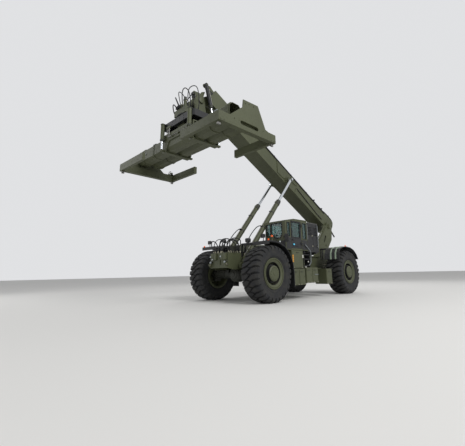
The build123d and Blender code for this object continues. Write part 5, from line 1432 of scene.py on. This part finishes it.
@dataclass
class BoxTrim(SubAssembly):
    """Handles, hinges, a latch, painted highlights, caps and the reflector of the side boxes, hood and tank."""

    box_x: float = 1.762
    hood_x: float = -1.752
    hinge_radius: float = 0.011

    def box_doors(self) -> None:
        """Model the handles and hinges of the boxes' doors."""
        x = self.box_x
        places = ((-0.42, 1.74), (-0.60, 1.02), (-0.20, 1.02), (0.28, 1.08), (0.72, 1.08), (1.85, 1.02))
        self.put("box_handles", Finish.BLACK,
                 *[handle((x - 0.004, y, z), (x - 0.004, y + 0.13, z), LEFT, 0.035) for y, z in places])
        # height of a row of hinges, and where each starts
        rows = ((1.185, (-0.65, -0.12)), (0.56, (-0.66, -0.40, -0.24, 0.02)), (0.615, (0.22, 0.50, 0.66, 0.94)),
                (0.525, (1.72, 2.02)))
        self.put("box_hinges", Finish.ZINC,
                 *[rod((x + 0.004, y, z), (x + 0.004, y + 0.08, z), self.hinge_radius)
                   for z, ys in rows for y in ys])

    def box_faces(self) -> None:
        """Model the reflector, a white latch with two white spots of painted highlight, the steps' handrail and
        the bolts on the boxes' faces.
        """
        x = self.box_x
        # the reflector's glow is painted light
        self.put("side_reflector", Finish.REFLECTOR,
                 *[box((x - 0.004, -0.675, z), (x + 0.004, -0.60, z + 0.06), 0.002)
                   for z in (1.38, 1.45, 1.52, 1.59)])
        self.put("white_latch_and_painted_glints", Finish.WHITE_PAINT,
                 box((x - 0.014, -0.035, 1.54), (x + 0.022, 0.02, 1.66), 0.008),
                 # these two white spots are painted highlights
                 box((x - 0.02, 0.36, 1.38), (x, 0.41, 1.43), 0.008),
                 box((x - 0.02, 0.14, 1.185), (x, 0.24, 1.215), 0.008))
        self.put("step_handrail", Finish.GREY_RAIL,
                 pipe([(1.765, 0.216, 2.076), (1.765, 0.595, 1.812), (1.765, 0.56, 1.354), (1.73, 0.45, 1.254)],
                      0.0165, 0.08),
                 rod((x + 0.008, 0.76, 0.905), (x + 0.008, 1.03, 0.905), 0.014))
        self.put("box_bolts", Finish.ZINC, bolts(grid([x - 0.014], [-0.68, -0.02], [1.19, 1.79]), LEFT, 0.008))

    def hood(self) -> None:
        """Model the hood's handles, hinges and lifting eyes, and the air intake's cap."""
        x = self.hood_x
        self.put("hood_handles", Finish.BLACK,
                 *[handle((x + 0.004, y, 1.38), (x + 0.004, y + 0.16, 1.38), RIGHT, 0.04)
                   for y in (-0.08, 0.76, 1.59)])
        self.put("hood_hinges", Finish.ZINC,
                 *[rod((x - 0.004, y, 2.155), (x - 0.004, y + 0.1, 2.155), 0.012)
                   for y in (-0.30, 0.22, 0.55, 1.05, 1.38, 1.88)])
        eyes = [pipe([(x, y - 0.04, 2.255), (x, y - 0.04, 2.33), (x, y + 0.04, 2.33), (x, y + 0.04, 2.255)],
                     0.01, 0.03) for x in (-1.5, -0.88) for y in (-0.2, 1.2)]
        self.put("hood_lifting_eyes", Finish.ZINC, *eyes)
        self.put("air_intake_cap", Finish.BLACK,
                 turned([(0, 0.07), (0.16, 0.07), (0.17, 0.13), (0.30, 0.14), (0.34, 0.12), (0.36, 0.0)],
                        (-1.30, 0.10, 2.25), UP, 28))

    def build(self) -> None:
        """Model the fittings of the boxes, the hood, the tank and the exhaust."""
        self.box_doors()
        self.box_faces()
        self.hood()
        self.put("fuel_cap", Finish.ZINC,
                 turned([(0, 0.062), (0.03, 0.062), (0.036, 0.056), (0.038, 0.0)], (-1.65, 0.31, 1.05), UP, 18))
        band = [(0, 0.112), (0.04, 0.112), (0.04, 0.10)]
        self.put("exhaust_clamps", Finish.ZINC, *[turned(band, (-0.9, 1.79, z), UP, 28) for z in (2.36, 2.62)])


@dataclass
class KnuckleTrim(SubAssembly):
    """Caps and bolts of the kingpins, brake chambers and the axles' covers."""

    kingpin_x: float = 1.32
    kingpin_half: float = 0.247
    cover_bolts: int = 14
    chamber_x: float = 0.94

    def cover(self, axle: str, axle_y: float) -> None:
        """Model the differential's cover flange and its bolts.

        Args:
            axle: The axle's name.
            axle_y: Where it lies.
        """
        ring = circle_points((0, axle_y - 0.19, AXLE_Z), 0.215, self.cover_bolts, "Y")
        self.put(f"{axle}_axle_bolts", Finish.ZINC, bolts(ring, AHEAD, 0.012))
        flange = [(0, 0.25), (0.03, 0.25), (0.04, 0.235), (0.04, 0.12)]
        self.put(f"{axle}_axle_flange", Finish.IRON, turned(flange, (0, axle_y - 0.17, AXLE_Z), AHEAD, 32))

    def fork(self, corner: str, side: int, axle_y: float) -> None:
        """Model the kingpin's caps and the brake chamber of one fork.

        Args:
            corner: The fork's name.
            side: 1 on the left, -1 on the right.
            axle_y: Where its axle lies.
        """
        king = (side * self.kingpin_x, axle_y)
        cap = [(0, 0.07), (0.018, 0.07), (0.024, 0.062), (0.026, 0)]
        caps = [turned(cap, (*king, AXLE_Z + up * self.kingpin_half), Vector((0, 0, up)), 20) for up in (1, -1)]
        caps += [bolts(circle_points((*king, AXLE_Z + up * (self.kingpin_half + 0.018)), 0.05, 4, "Z", 0.785),
                       (0, 0, up), 0.009) for up in (1, -1)]
        self.put(f"kingpin_caps_{corner}", Finish.IRON, *caps)
        chamber = [(0, 0.05), (0.02, 0.075), (0.06, 0.08), (0.066, 0.086), (0.078, 0.086), (0.084, 0.08),
                   (0.13, 0.07), (0.15, 0.03), (0.15, 0)]
        foot = (side * self.chamber_x, axle_y - 0.02, AXLE_Z + 0.14)
        self.put(f"brake_chamber_{corner}", Finish.BLACK,
                 turned(chamber, foot, Vector((side * 0.35, 0, 1)), 24))

    def build(self) -> None:
        """Model the axles' and the knuckles' fittings."""
        for axle, axle_y in (("front", FRONT_Y), ("rear", REAR_Y)):
            self.cover(axle, axle_y)
            for side, name in SIDES:
                self.fork(f"{axle}_{name}", side, axle_y)


@dataclass
class BoomTrim(SubAssembly):
    """Pipes, covers and bolts of the boom, and the chain, seals and caps of its nose."""

    top: float = 0.575  # the outer boom's upper face, across from the pivot
    plate_x: float = 0.42
    pad_rows: tuple[float, float] = (8.20, 8.29)
    lift_eye: tuple[float, float] = (3.86, 0.10)
    lift_ring: float = 0.155
    nose_x: float = 0.344

    def block(self, u: tuple[float, float], v: tuple[float, float], x: tuple[float, float],
              bevel: float = 0.005) -> Piece:
        """Model a block square to the boom.

        Args:
            u: From and to along the boom, from its pivot.
            v: From and to across it.
            x: From and to, to the left.
            bevel: Radius of its edges.

        Returns:
            The block.
        """
        piece = box((x[0], -u[1], v[0]), (x[1], -u[0], v[1]), bevel)
        piece.data.transform(Matrix.Translation(PIVOT) @ Matrix.Rotation(-BOOM_ANGLE, 4, "X"))
        return piece

    def pipes(self) -> None:
        """Model the hard pipes along the boom's sides and their clamps."""
        lines = [pipe([along_boom(u, v, side * 0.396) for u in (7.9, 0.5)], 0.014)
                 for side in (1, -1) for v in (0.50, 0.545)]
        feed = ((3.10, 0.21), (1.13, 0.06), (0.62, 0.06))
        lines.append(pipe([along_boom(u, v, 0.40) for u, v in feed], 0.018, 0.1))
        self.put("boom_pipes", Finish.SEAL, *lines, body="boom")
        clamps = [self.block((u, u + 0.05), (0.475, 0.57), tuple(sorted((side * 0.375, side * 0.415))))
                  for side in (1, -1) for u in (0.9, 2.3, 3.7, 5.1, 6.4, 7.6)]
        clamps += [self.block((u, u + 0.06), (v - 0.03, v + 0.03), (0.375, 0.425))
                   for u, v in ((0.9, 0.06), (2.1, 0.134))]
        self.put("boom_pipe_clamps", Finish.BLACK, *clamps, body="boom")

    def heel_bundle(self) -> None:
        """Model the bundle of pipes that bends down over the boom's heel."""
        run = ((1.9, 0.60), (0.62, 0.61), (0.35, 0.66), (-0.30, 0.66), (-0.50, 0.56), (-0.53, 0.30))
        # place to the left of each pipe, and how far it stands above the run
        rows = ((0.34, 0.0), (0.29, 0.012), (0.23, 0.0), (0.17, 0.008), (-0.22, 0.0), (-0.30, 0.0))
        bundle = [pipe([along_boom(u, v + lift, x) for u, v in run], 0.02, 0.12) for x, lift in rows]
        bundle += [self.block((u, u + 0.05), (self.top, 0.70), (0.14, 0.37), 0.008) for u in (1.5, 0.72, 0.0)]
        self.put("boom_heel_pipes", Finish.SEAL, *bundle, body="boom")

    def fasteners(self) -> None:
        """Model the bolts of the wear pads on four faces and round both lift eyes."""
        heads = []
        for side in (1, -1):
            rows = [along_boom(u, v, side * self.plate_x)
                    for u in self.pad_rows for v in (-0.02, 0.12, 0.36, 0.50)]
            heads.append(bolts(rows, (side, 0, 0), 0.018))
        c, s = math.cos(BOOM_ANGLE), math.sin(BOOM_ANGLE)
        for v, axis in ((0.62, (0, s, c)), (-0.14, (0, -s, -c))):
            rows = [along_boom(u, v, x) for u in self.pad_rows for x in (-0.3, -0.1, 0.1, 0.3)]
            heads.append(bolts(rows, axis, 0.018))
        for side in (1, -1):
            ring = circle_points((0, *self.lift_eye), self.lift_ring, 10)
            rows = [along_boom(u, v, side * self.plate_x) for _, u, v in ring]
            heads.append(bolts(rows, (side, 0, 0), 0.013))
        self.put("boom_bolts", Finish.OLIVE, *heads, body="boom")

    def covers(self) -> None:
        """Model the covers and ribs on the boom and the welds along its corners."""
        top = self.top
        covers = [self.block((1.2, 1.7), (0.02, 0.42), (-0.392, -0.378), 0.004),
                  self.block((-0.06, 0.03), (top, 0.72), (-0.10, 0.10), 0.012),
                  self.block((0.42, 0.54), (top, 0.63), (-0.16, 0.16), 0.012),
                  self.block((2.4, 2.9), (top, 0.592), (-0.2, 0.2), 0.005),
                  self.block((5.4, 5.9), (top, 0.592), (-0.2, 0.2), 0.005),
                  *[self.block((u, u + 0.018), (0.578, 0.60), (-0.36, 0.36), 0.006)
                    for u in (1.6, 3.3, 4.6, 6.3)]]
        self.put("boom_covers", Finish.OLIVE, *covers, body="boom")
        self.put("boom_seam_welds", Finish.OLIVE,
                 *[self.block((-0.2, 8.15), (v, v + 0.014), (x - 0.007, x + 0.007), 0.005)
                   for x in (0.372, -0.372) for v in (-0.107, 0.573)], body="boom")
        self.put("boom_tail_pipe", Finish.SEAL,
                 pipe([(0.30, 4.86, 3.40), (0.30, 5.02, 3.16), (0.30, 5.34, 2.86)], 0.036, 0.14), body="boom")

    def nose(self) -> None:
        """Model the hose chain on the inner boom and the bolts, seals and caps of its nose."""
        tray = self.block((8.42, 9.05), (0.545, 0.565), (-0.12, 0.12), 0.004)
        links = [self.block((8.44 + 0.1 * i, 8.50 + 0.1 * i), (0.56, 0.60), (-0.1, 0.1), 0.006)
                 for i in range(6)]
        self.put("hose_chain", Finish.BLACK, tray, *links, body="boom_tip")
        heads = []
        for side in (1, -1):
            x = side * self.nose_x
            heads.append(bolts(circle_points((x, *LEVEL_TOP), 0.066, 8), (side, 0, 0), 0.009))
            heads.append(bolts(circle_points((x, *TILT_PIN), 0.09, 8), (side, 0, 0), 0.011))
        self.put("nose_bolts", Finish.OLIVE, *heads, body="boom_tip")
        notch = [(-3.68, 8.00), (-3.58, 7.99), (-3.46, 7.96), (-3.43, 7.91), (-3.51, 7.83), (-3.60, 7.83),
                 (-3.67, 7.90)]
        self.put("nose_opening_seals", Finish.SEAL,
                 *[rim([(side * self.nose_x, y, z) for y, z in notch], 0.055, (side, 0, 0), 0.004)
                   for side in (1, -1)], body="boom_tip")
        cap = [(0, 0.115), (0.014, 0.115), (0.02, 0.105), (0.022, 0.0)]
        self.put("tilt_pin_caps", Finish.OLIVE,
                 *[turned(cap, (side * 0.343, *TILT_PIN), Vector((side, 0, 0)), 28) for side in (1, -1)],
                 body="boom_tip")

    def build(self) -> None:
        """Model the boom's fittings."""
        self.pipes()
        self.heel_bundle()
        self.fasteners()
        self.covers()
        self.nose()


@dataclass
class CylinderTrim(SubAssembly):
    """Gland nuts, ports, hard pipes and eyes of the lift and levelling cylinders."""

    lift_x: float = 0.6
    lift_gland: float = 3.6  # along the cylinder from its foot
    lift_collar: float = 0.16
    lift_ports: tuple[float, float] = (0.30, 3.42)
    port_out: float = 0.10
    clamps_at: tuple[float, ...] = (0.9, 1.9, 2.8)
    eye_x: float = 0.664
    level_x: float = 0.43
    level_gland: float = 0.94
    level_collar: float = 0.12
    level_ports: tuple[float, float] = (0.2, 0.85)

    def lift_block(self, x: float, along: float, out: float, low: Point, high: Point, bevel: float) -> Piece:
        """Model a block square to a lift cylinder, its own Y pointing away from the axis.

        Args:
            x: Distance to the left.
            along: Distance up the cylinder from its foot.
            out: Distance in front of its axis.
            low: Lowest corner from there.
            high: Highest corner from there.
            bevel: Radius of its edges.

        Returns:
            The block.
        """
        piece = box(low, high, bevel)
        piece.data.transform(Matrix.Translation(lift_cylinder(x, along, out))
                             @ Matrix.Rotation(LIFT_ANGLE + math.pi / 2, 4, "X"))
        return piece

    def lift(self, side: int, name: str) -> None:
        """Model the fittings of one lift cylinder.

        Args:
            side: 1 on the left, -1 on the right.
            name: The side's name.
        """
        x, body = side * self.lift_x, f"lift_barrel_{name}"
        up = Vector((0, math.cos(LIFT_ANGLE), math.sin(LIFT_ANGLE)))
        gland = [(-0.24, 0.098), (-0.24, 0.112), (-0.06, 0.112), (-0.05, 0.104), (0.0, 0.104), (0.012, 0.09),
                 (0.016, 0.066)]
        self.put(f"lift_gland_{name}", Finish.IRON, turned(gland, lift_cylinder(x, self.lift_gland, 0), up, 32),
                 turned([(0.0, 0.098), (0.0, 0.11), (0.05, 0.11), (0.05, 0.098)],
                        lift_cylinder(x, self.lift_collar, 0), up, 32), body=body)
        low, high = self.lift_ports
        run = ((low, 0.01), (low + 0.08, 0.022), (high - 0.06, 0.022), (high, 0.01))
        self.put(f"lift_pipe_{name}", Finish.STEEL,
                 pipe([lift_cylinder(x, along, self.port_out + out) for along, out in run], 0.014, 0.05),
                 body=body)
        clamps = []
        for along in self.clamps_at:
            clamps.append(turned([(0, 0.096), (0, 0.104), (0.04, 0.104), (0.04, 0.096)],
                                 lift_cylinder(x, along, 0), up, 28))
            clamps.append(self.lift_block(x, along, 0.125, (-0.025, -0.03, 0.0), (0.025, 0.03, 0.04), 0.006))
        self.put(f"lift_clamps_{name}", Finish.BLACK, *clamps, body=body)
        self.put(f"lift_ports_{name}", Finish.OLIVE,
                 *[self.lift_block(x, along, self.port_out, (-0.04, -0.03, -0.05), (0.04, 0.03, 0.05), 0.008)
                   for along in self.lift_ports], body=body)
        eye = turned([(0, 0.106), (0.01, 0.106), (0.014, 0.1), (0.014, 0.0)], (side * self.eye_x, *LIFT_EYE),
                     Vector((side, 0, 0)), 28)
        keeper = bolts(circle_points((side * (self.eye_x + 0.014), *LIFT_EYE), 0.075, 6), (side, 0, 0), 0.011)
        self.put(f"lift_eye_cap_{name}", Finish.OLIVE, eye, keeper, body=f"lift_rod_{name}")

    def level(self, side: int, name: str) -> None:
        """Model the fittings of one levelling cylinder.

        Args:
            side: 1 on the left, -1 on the right.
            name: The side's name.
        """
        top, body = Vector((side * self.level_x, *LEVEL_TOP)), f"level_barrel_{name}"
        down = (Vector((side * self.level_x, *LEVEL_FOOT)) - top).normalized()
        neck = [(-0.1, 0.075), (-0.1, 0.086), (0.0, 0.086), (0.01, 0.07), (0.012, 0.042)]
        self.put(f"level_gland_{name}", Finish.IRON,
                 turned(neck, tuple(top + down * self.level_gland), down, 28),
                 turned([(0, 0.075), (0, 0.084), (0.05, 0.084), (0.05, 0.075)],
                        tuple(top + down * self.level_collar), down, 28), body=body)
        high, low = self.level_ports
        run = ((high, 0.07), (high, 0.10), (low, 0.10), (low, 0.07))
        corners = [tuple(top + down * along + Vector((side * out, 0, 0))) for along, out in run]
        self.put(f"level_pipe_{name}", Finish.STEEL, pipe(corners, 0.01, 0.03), body=body)

    def build(self) -> None:
        """Model the fittings of four cylinders."""
        for side, name in SIDES:
            self.lift(side, name)
            self.level(side, name)


@dataclass
class HeadTrim(SubAssembly):
    """Bolts, slewing motor and valve coils of the turning head, glands and pipes of the rotator."""

    ring_z: float = 6.68
    ring_bolts: int = 36
    motor_at: tuple[float, float] = (0.20, -4.62)
    ram_x: float = 0.85
    ram_y: float = 0.65
    carriage_y: float = SPREADER_Y - 0.60
    frame_rows: tuple[float, ...] = (-0.72, -0.36, 0.36, 0.72)

    def slewing(self) -> None:
        """Model the slew ring's bolts and seal, and the motor that turns it."""
        ring = circle_points((0, SPREADER_Y, self.ring_z), 0.49, self.ring_bolts, "Z")
        self.put("slew_ring_bolts", Finish.ZINC, bolts(ring, UP, 0.014), body="head")
        self.put("slew_ring_seal", Finish.SEAL,
                 turned([(0, 0.505), (0, 0.53), (0.02, 0.535), (0.04, 0.53), (0.04, 0.505)],
                        (0, SPREADER_Y, self.ring_z - 0.055), UP, 64), body="head")
        motor = [(0, 0.062), (0.04, 0.075), (0.05, 0.075), (0.06, 0.055), (0.16, 0.055), (0.17, 0.04),
                 (0.18, 0.0)]
        self.put("slew_motor", Finish.IRON, turned(motor, (*self.motor_at, 7.16), UP, 24),
                 bolts(circle_points((*self.motor_at, 6.99), 0.072, 6, "Z"), UP, 0.01), body="head")

    def valves(self) -> None:
        """Model the head's valve coils, junction boxes and cheek bolts."""
        coil = [(0, 0.02), (0.015, 0.02), (0.018, 0.03), (0.07, 0.03), (0.075, 0.012), (0.09, 0.0)]
        self.put("head_valve_coils", Finish.SEAL,
                 *[turned(coil, (x, -4.685, z), AHEAD, 16) for x in (-0.19, -0.10, 0.0) for z in (6.95, 7.02)],
                 body="head")
        self.put("head_junction_boxes", Finish.GREY_RAIL,
                 box((-0.345, -4.60, 6.895), (-0.262, -4.30, 7.07), 0.01),
                 box((0.05, -4.24, 6.895), (0.25, -4.10, 6.99), 0.01), body="head")
        self.put("head_cheek_bolts", Finish.OLIVE,
                 *[bolts(circle_points((side * 0.299, *TILT_PIN), 0.088, 8), (side, 0, 0), 0.007)
                   for side in (1, -1)], body="head")

    def rams(self) -> None:
        """Model the glands of the four rams under the rotator and the rotator's bolts."""
        gland = [(0, 0.083), (0.02, 0.083), (0.026, 0.07), (0.026, 0.0)]
        foot = [(0, 0.086), (0.05, 0.086), (0.05, 0.05)]
        parts = []
        for x in (self.ram_x, -self.ram_x):
            for y in (SPREADER_Y - self.ram_y, SPREADER_Y + self.ram_y):
                parts.append(turned(gland, (x, y, 6.499), UP, 24))
                parts.append(turned(foot, (x, y, 5.845), UP, 24))
                parts.append(box((x - 0.03, y - 0.03, 6.26), (x + 0.03, y + 0.105, 6.33), 0.008))
        self.put("ram_glands", Finish.IRON, *parts, body="rotator")
        self.put("rotator_bolts", Finish.BLACK,
                 *[bolts(grid(self.frame_rows, [SPREADER_Y + way * 0.57], [6.36, 6.47]), (0, way, 0), 0.016)
                   for way in (-1, 1)], body="rotator")

    def carriage(self) -> None:
        """Model the pipes down to the carriage and the brackets that hold them."""
        y = self.carriage_y
        self.put("carriage_pipes", Finish.STEEL,
                 *[pipe([(x, y, 6.30), (x, y, 5.97), (x + 0.1, y, 5.90), (0.72, y, 5.90)], 0.012, 0.08)
                   for x in (-0.62, -0.54, -0.46)], body="rotator")
        stand = [box((x - 0.02, y - 0.015, 5.86), (x + 0.02, y + 0.05, 5.95), 0.006) for x in (-0.3, 0.1, 0.5)]
        stand.append(box((-0.66, y - 0.02, 6.26), (-0.42, y + 0.035, 6.34), 0.008))
        self.put("carriage_brackets", Finish.OLIVE, *stand, body="rotator")

    def build(self) -> None:
        """Model the head's and the rotator's fittings."""
        self.slewing()
        self.valves()
        self.rams()
        self.carriage()


@dataclass
class SpreaderTrim(SubAssembly):
    """Collar bolts, junction boxes, pipes, lamps, sensors and rails of the spreader and its ends."""

    collars: tuple[tuple[float, float], ...] = ((1.65, 1.75), (2.50, 2.65))
    beam_y: float = 0.27
    junction_x: float = 1.89
    lamp_x: float = 2.30
    end_x: float = 3.03
    lock_x: float = 2.9265
    lock_y: float = 1.1295
    rail_y: float = 0.95
    rail_x: tuple[float, float] = (2.9, 2.75)

    def housing(self) -> None:
        """Model the collars' bolts, the junction boxes with their pipes and the lamps."""
        heads = []
        for near, far in self.collars:
            for side in (1, -1):
                x = side * (near + far) / 2
                for way in (-1, 1):
                    face = grid([x], [SPREADER_Y + way * 0.535], [5.60, 5.72, 5.84])
                    heads.append(bolts(face, (0, way, 0), 0.014))
                for beam in (-self.beam_y, self.beam_y):
                    heads.append(bolts([(x, SPREADER_Y + beam + dy, 6.065) for dy in (-0.1, 0.1)], UP, 0.014))
        self.put("collar_bolts", Finish.OLIVE, *heads, body="spreader")
        self.put("spreader_junctions", Finish.GREY_RAIL,
                 *[box((x - 0.09, SPREADER_Y - 0.40, 6.045), (x + 0.09, SPREADER_Y - 0.14, 6.12), 0.01)
                   for x in (self.junction_x, -self.junction_x)], body="spreader")
        rows = [SPREADER_Y - self.beam_y + dy for dy in (-0.05, 0.0, 0.05)]
        pipes = [pipe([(-2.46, y, 6.06), (-2.2, y, 6.062), (-1.93, y, 6.08)], 0.012, 0.03) for y in rows]
        pipes += [mirror_x(piece) for piece in list(pipes)]
        self.put("spreader_pipes", Finish.STEEL, *pipes, body="spreader")
        self.put("spreader_lamps", Finish.CLEAR_LENS,
                 *[box((x - 0.04, SPREADER_Y - 0.56, 5.74), (x + 0.04, SPREADER_Y - 0.515, 5.80), 0.01)
                   for x in (self.lamp_x, -self.lamp_x)], body="spreader")

    def rails(self, side: int) -> list[Piece]:
        """Model the guard rails over an end frame's arms.

        Args:
            side: 1 on the left, -1 on the right.

        Returns:
            The rails and their feet.
        """
        near, far = (side * x for x in self.rail_x)
        low, high = LOCK_Z + 0.34, LOCK_Z + 0.42
        rows = [SPREADER_Y + dy for dy in (-self.rail_y, self.rail_y)]
        rails = [pipe([(near, y, low), (near, y, high), (far, y, high), (far, y, low)], 0.012, 0.03)
                 for y in rows]
        feet = [box((x - 0.03, y - 0.03, LOCK_Z + 0.285), (x + 0.03, y + 0.03, LOCK_Z + 0.35), 0.006)
                for x in (near, far) for y in rows]
        # a second, finer bevel softens the feet's edges
        return rails + [modify(foot, "BEVEL", width=0.002) for foot in feet]

    def end(self, side: int, name: str) -> None:
        """Model the bolts, landing sensors and rails of one end frame.

        Args:
            side: 1 on the left, -1 on the right.
            name: The side's name.
        """
        # across from the spreader's middle, and up from the locks
        spots = ((-1.14, 0.05), (-1.02, 0.05), (1.02, 0.05), (1.14, 0.05), (-0.62, 0.25), (0.62, 0.25),
                 (-0.16, 0.9), (0.0, 0.93), (0.2, 0.93))
        heads = [(side * self.end_x, SPREADER_Y + dy, LOCK_Z + dz) for dy, dz in spots]
        self.put(f"end_bolts_{name}", Finish.OLIVE, bolts(heads, (side, 0, 0), 0.016), body=f"end_{name}")
        sensor = [(0, 0.06), (0.02, 0.06), (0.05, 0.045), (0.10, 0.045), (0.105, 0.0)]
        self.put(f"landing_sensors_{name}", Finish.BLACK,
                 *[turned(sensor, (side * (self.lock_x - 0.10), SPREADER_Y + edge * (self.lock_y - 0.08),
                                   LOCK_Z + 0.288), UP, 20) for edge in (-1, 1)], body=f"end_{name}")
        self.put(f"end_rails_{name}", Finish.OLIVE, *self.rails(side), body=f"end_{name}")

    def build(self) -> None:
        """Model the fittings of the spreader and of both end frames."""
        self.housing()
        for side, name in SIDES:
            self.end(side, name)


@dataclass
class Studio:
    """The pale floor, the soft lights and the camera at the photograph's viewing angle."""

    position: Point = (8.84, -10.419, 0.997)
    yaw: float = math.radians(43.592)
    pitch: float = math.radians(14.477)
    roll: float = math.radians(-1.22)
    focal: float = 24.03
    shift: tuple[float, float] = (-0.0353, -0.0638)
    far_clip: float = 500.0
    ambient: float = 0.52
    backdrop: float = 0.92
    floor_size: float = 400.0
    aim: Point = (0, 0, 3)
    # name, place, width and power in watts of each lamp
    lamps: tuple[tuple[str, Point, float, float], ...] = (
        ("key", (25, -5, 20), 12.0, 5000), ("fill", (-13, -12, 9), 10.0, 420),
        ("back", (-6, 16, 14), 10.0, 700))

    def camera(self) -> None:
        """Set up the camera."""
        bpy.ops.object.camera_add(location=self.position)
        camera = bpy.context.object
        level = math.cos(self.pitch)
        forward = Vector((-math.sin(self.yaw) * level, math.cos(self.yaw) * level, math.sin(self.pitch)))
        right = Vector((math.cos(self.yaw), math.sin(self.yaw), 0))
        up = right.cross(forward)
        c, s = math.cos(self.roll), math.sin(self.roll)
        right, up = c * right + s * up, -s * right + c * up
        axes = Matrix((right, up, -forward)).transposed().to_4x4()
        camera.matrix_world = Matrix.Translation(self.position) @ axes
        camera.data.lens = self.focal
        camera.data.shift_x, camera.data.shift_y = self.shift
        camera.data.clip_end = self.far_clip
        bpy.context.scene.camera = camera

    def floor(self) -> None:
        """Lay the floor out to the horizon."""
        bpy.ops.mesh.primitive_plane_add(size=self.floor_size, location=(0, 0, 0))
        ground = bpy.context.object
        ground.name = "studio_floor"
        material, _, shader = blank("pale_studio_floor")
        shader.inputs["Base Color"].default_value = linear("#E4E3E0")
        shader.inputs["Roughness"].default_value = 0.9
        ground.data.materials.append(material)

    def lights(self) -> None:
        """Hang a large key light, a fill and a pale surround."""
        for name, place, size, power in self.lamps:
            bpy.ops.object.light_add(type="AREA", location=place)
            light = bpy.context.object
            light.name = f"studio_{name}"
            light.data.size = size
            light.data.energy = power
            sight = Vector(self.aim) - Vector(place)
            light.rotation_euler = sight.to_track_quat("-Z", "Y").to_euler()
        world = bpy.data.worlds.new("pale_surround")
        bpy.context.scene.world = world
        world.use_nodes = True
        background = world.node_tree.nodes["Background"]
        background.inputs["Color"].default_value = linear("#E9EAEC")
        # what the camera and reflections see stays pale while the surround lights the machine less
        paths = add_node(world.node_tree, "ShaderNodeLightPath")
        seen = paths.outputs["Is Camera Ray"]
        for kind in ("Is Glossy Ray", "Is Transmission Ray"):
            seen = add_node(world.node_tree, "ShaderNodeMath", {0: seen, 1: paths.outputs[kind]},
                            operation="MAXIMUM").outputs[0]
        strength = add_node(world.node_tree, "ShaderNodeMapRange", {"Value": seen})
        strength.inputs["To Min"].default_value = self.ambient
        strength.inputs["To Max"].default_value = self.backdrop
        world.node_tree.links.new(strength.outputs["Result"], background.inputs["Strength"])

    def build(self) -> None:
        """Set up the whole studio."""
        self.camera()
        self.floor()
        self.lights()
        bpy.context.scene.view_settings.view_transform = "Standard"


@dataclass
class CastAndPlate(SubAssembly):
    """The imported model's own nodes, each with the finish of its material slot."""

    def build(self) -> None:
        """Dress every node by the slot that the record gives it."""
        by_slot = {"olive": Finish.OLIVE, "black": Finish.BLACK, "tyre": Finish.TYRE, "chrome": Finish.CHROME,
                   "steel": Finish.STEEL, "seat": Finish.SEAT, "iron": Finish.IRON, "glass": Finish.GLASS,
                   "lamp": Finish.AMBER}
        painted_black = ("cab_door", "cab_mount", "level_barrel_left", "level_barrel_right")
        for row in frame["record"]["subparts"]:
            node = frame["nodes"][row["node"]]
            finish = Finish.BLACK if row["node"] in painted_black else by_slot[row["material_slot"]]
            self.finishes.dress(node, finish)


def main() -> None:
    """Build the studio and every sub-assembly in order."""
    logging.basicConfig(level=logging.INFO, format="%(name)s %(message)s")
    finishes = Finishes()
    Studio().build()
    for kind in (Hoses, CastAndPlate, Wheel, NoseTrim, FrameTrim, FenderTrim, CabTrim, BoxTrim, KnuckleTrim,
                 BoomTrim, CylinderTrim, HeadTrim, SpreaderTrim):
        kind(finishes).build()


if __name__ == "__main__":
    main()
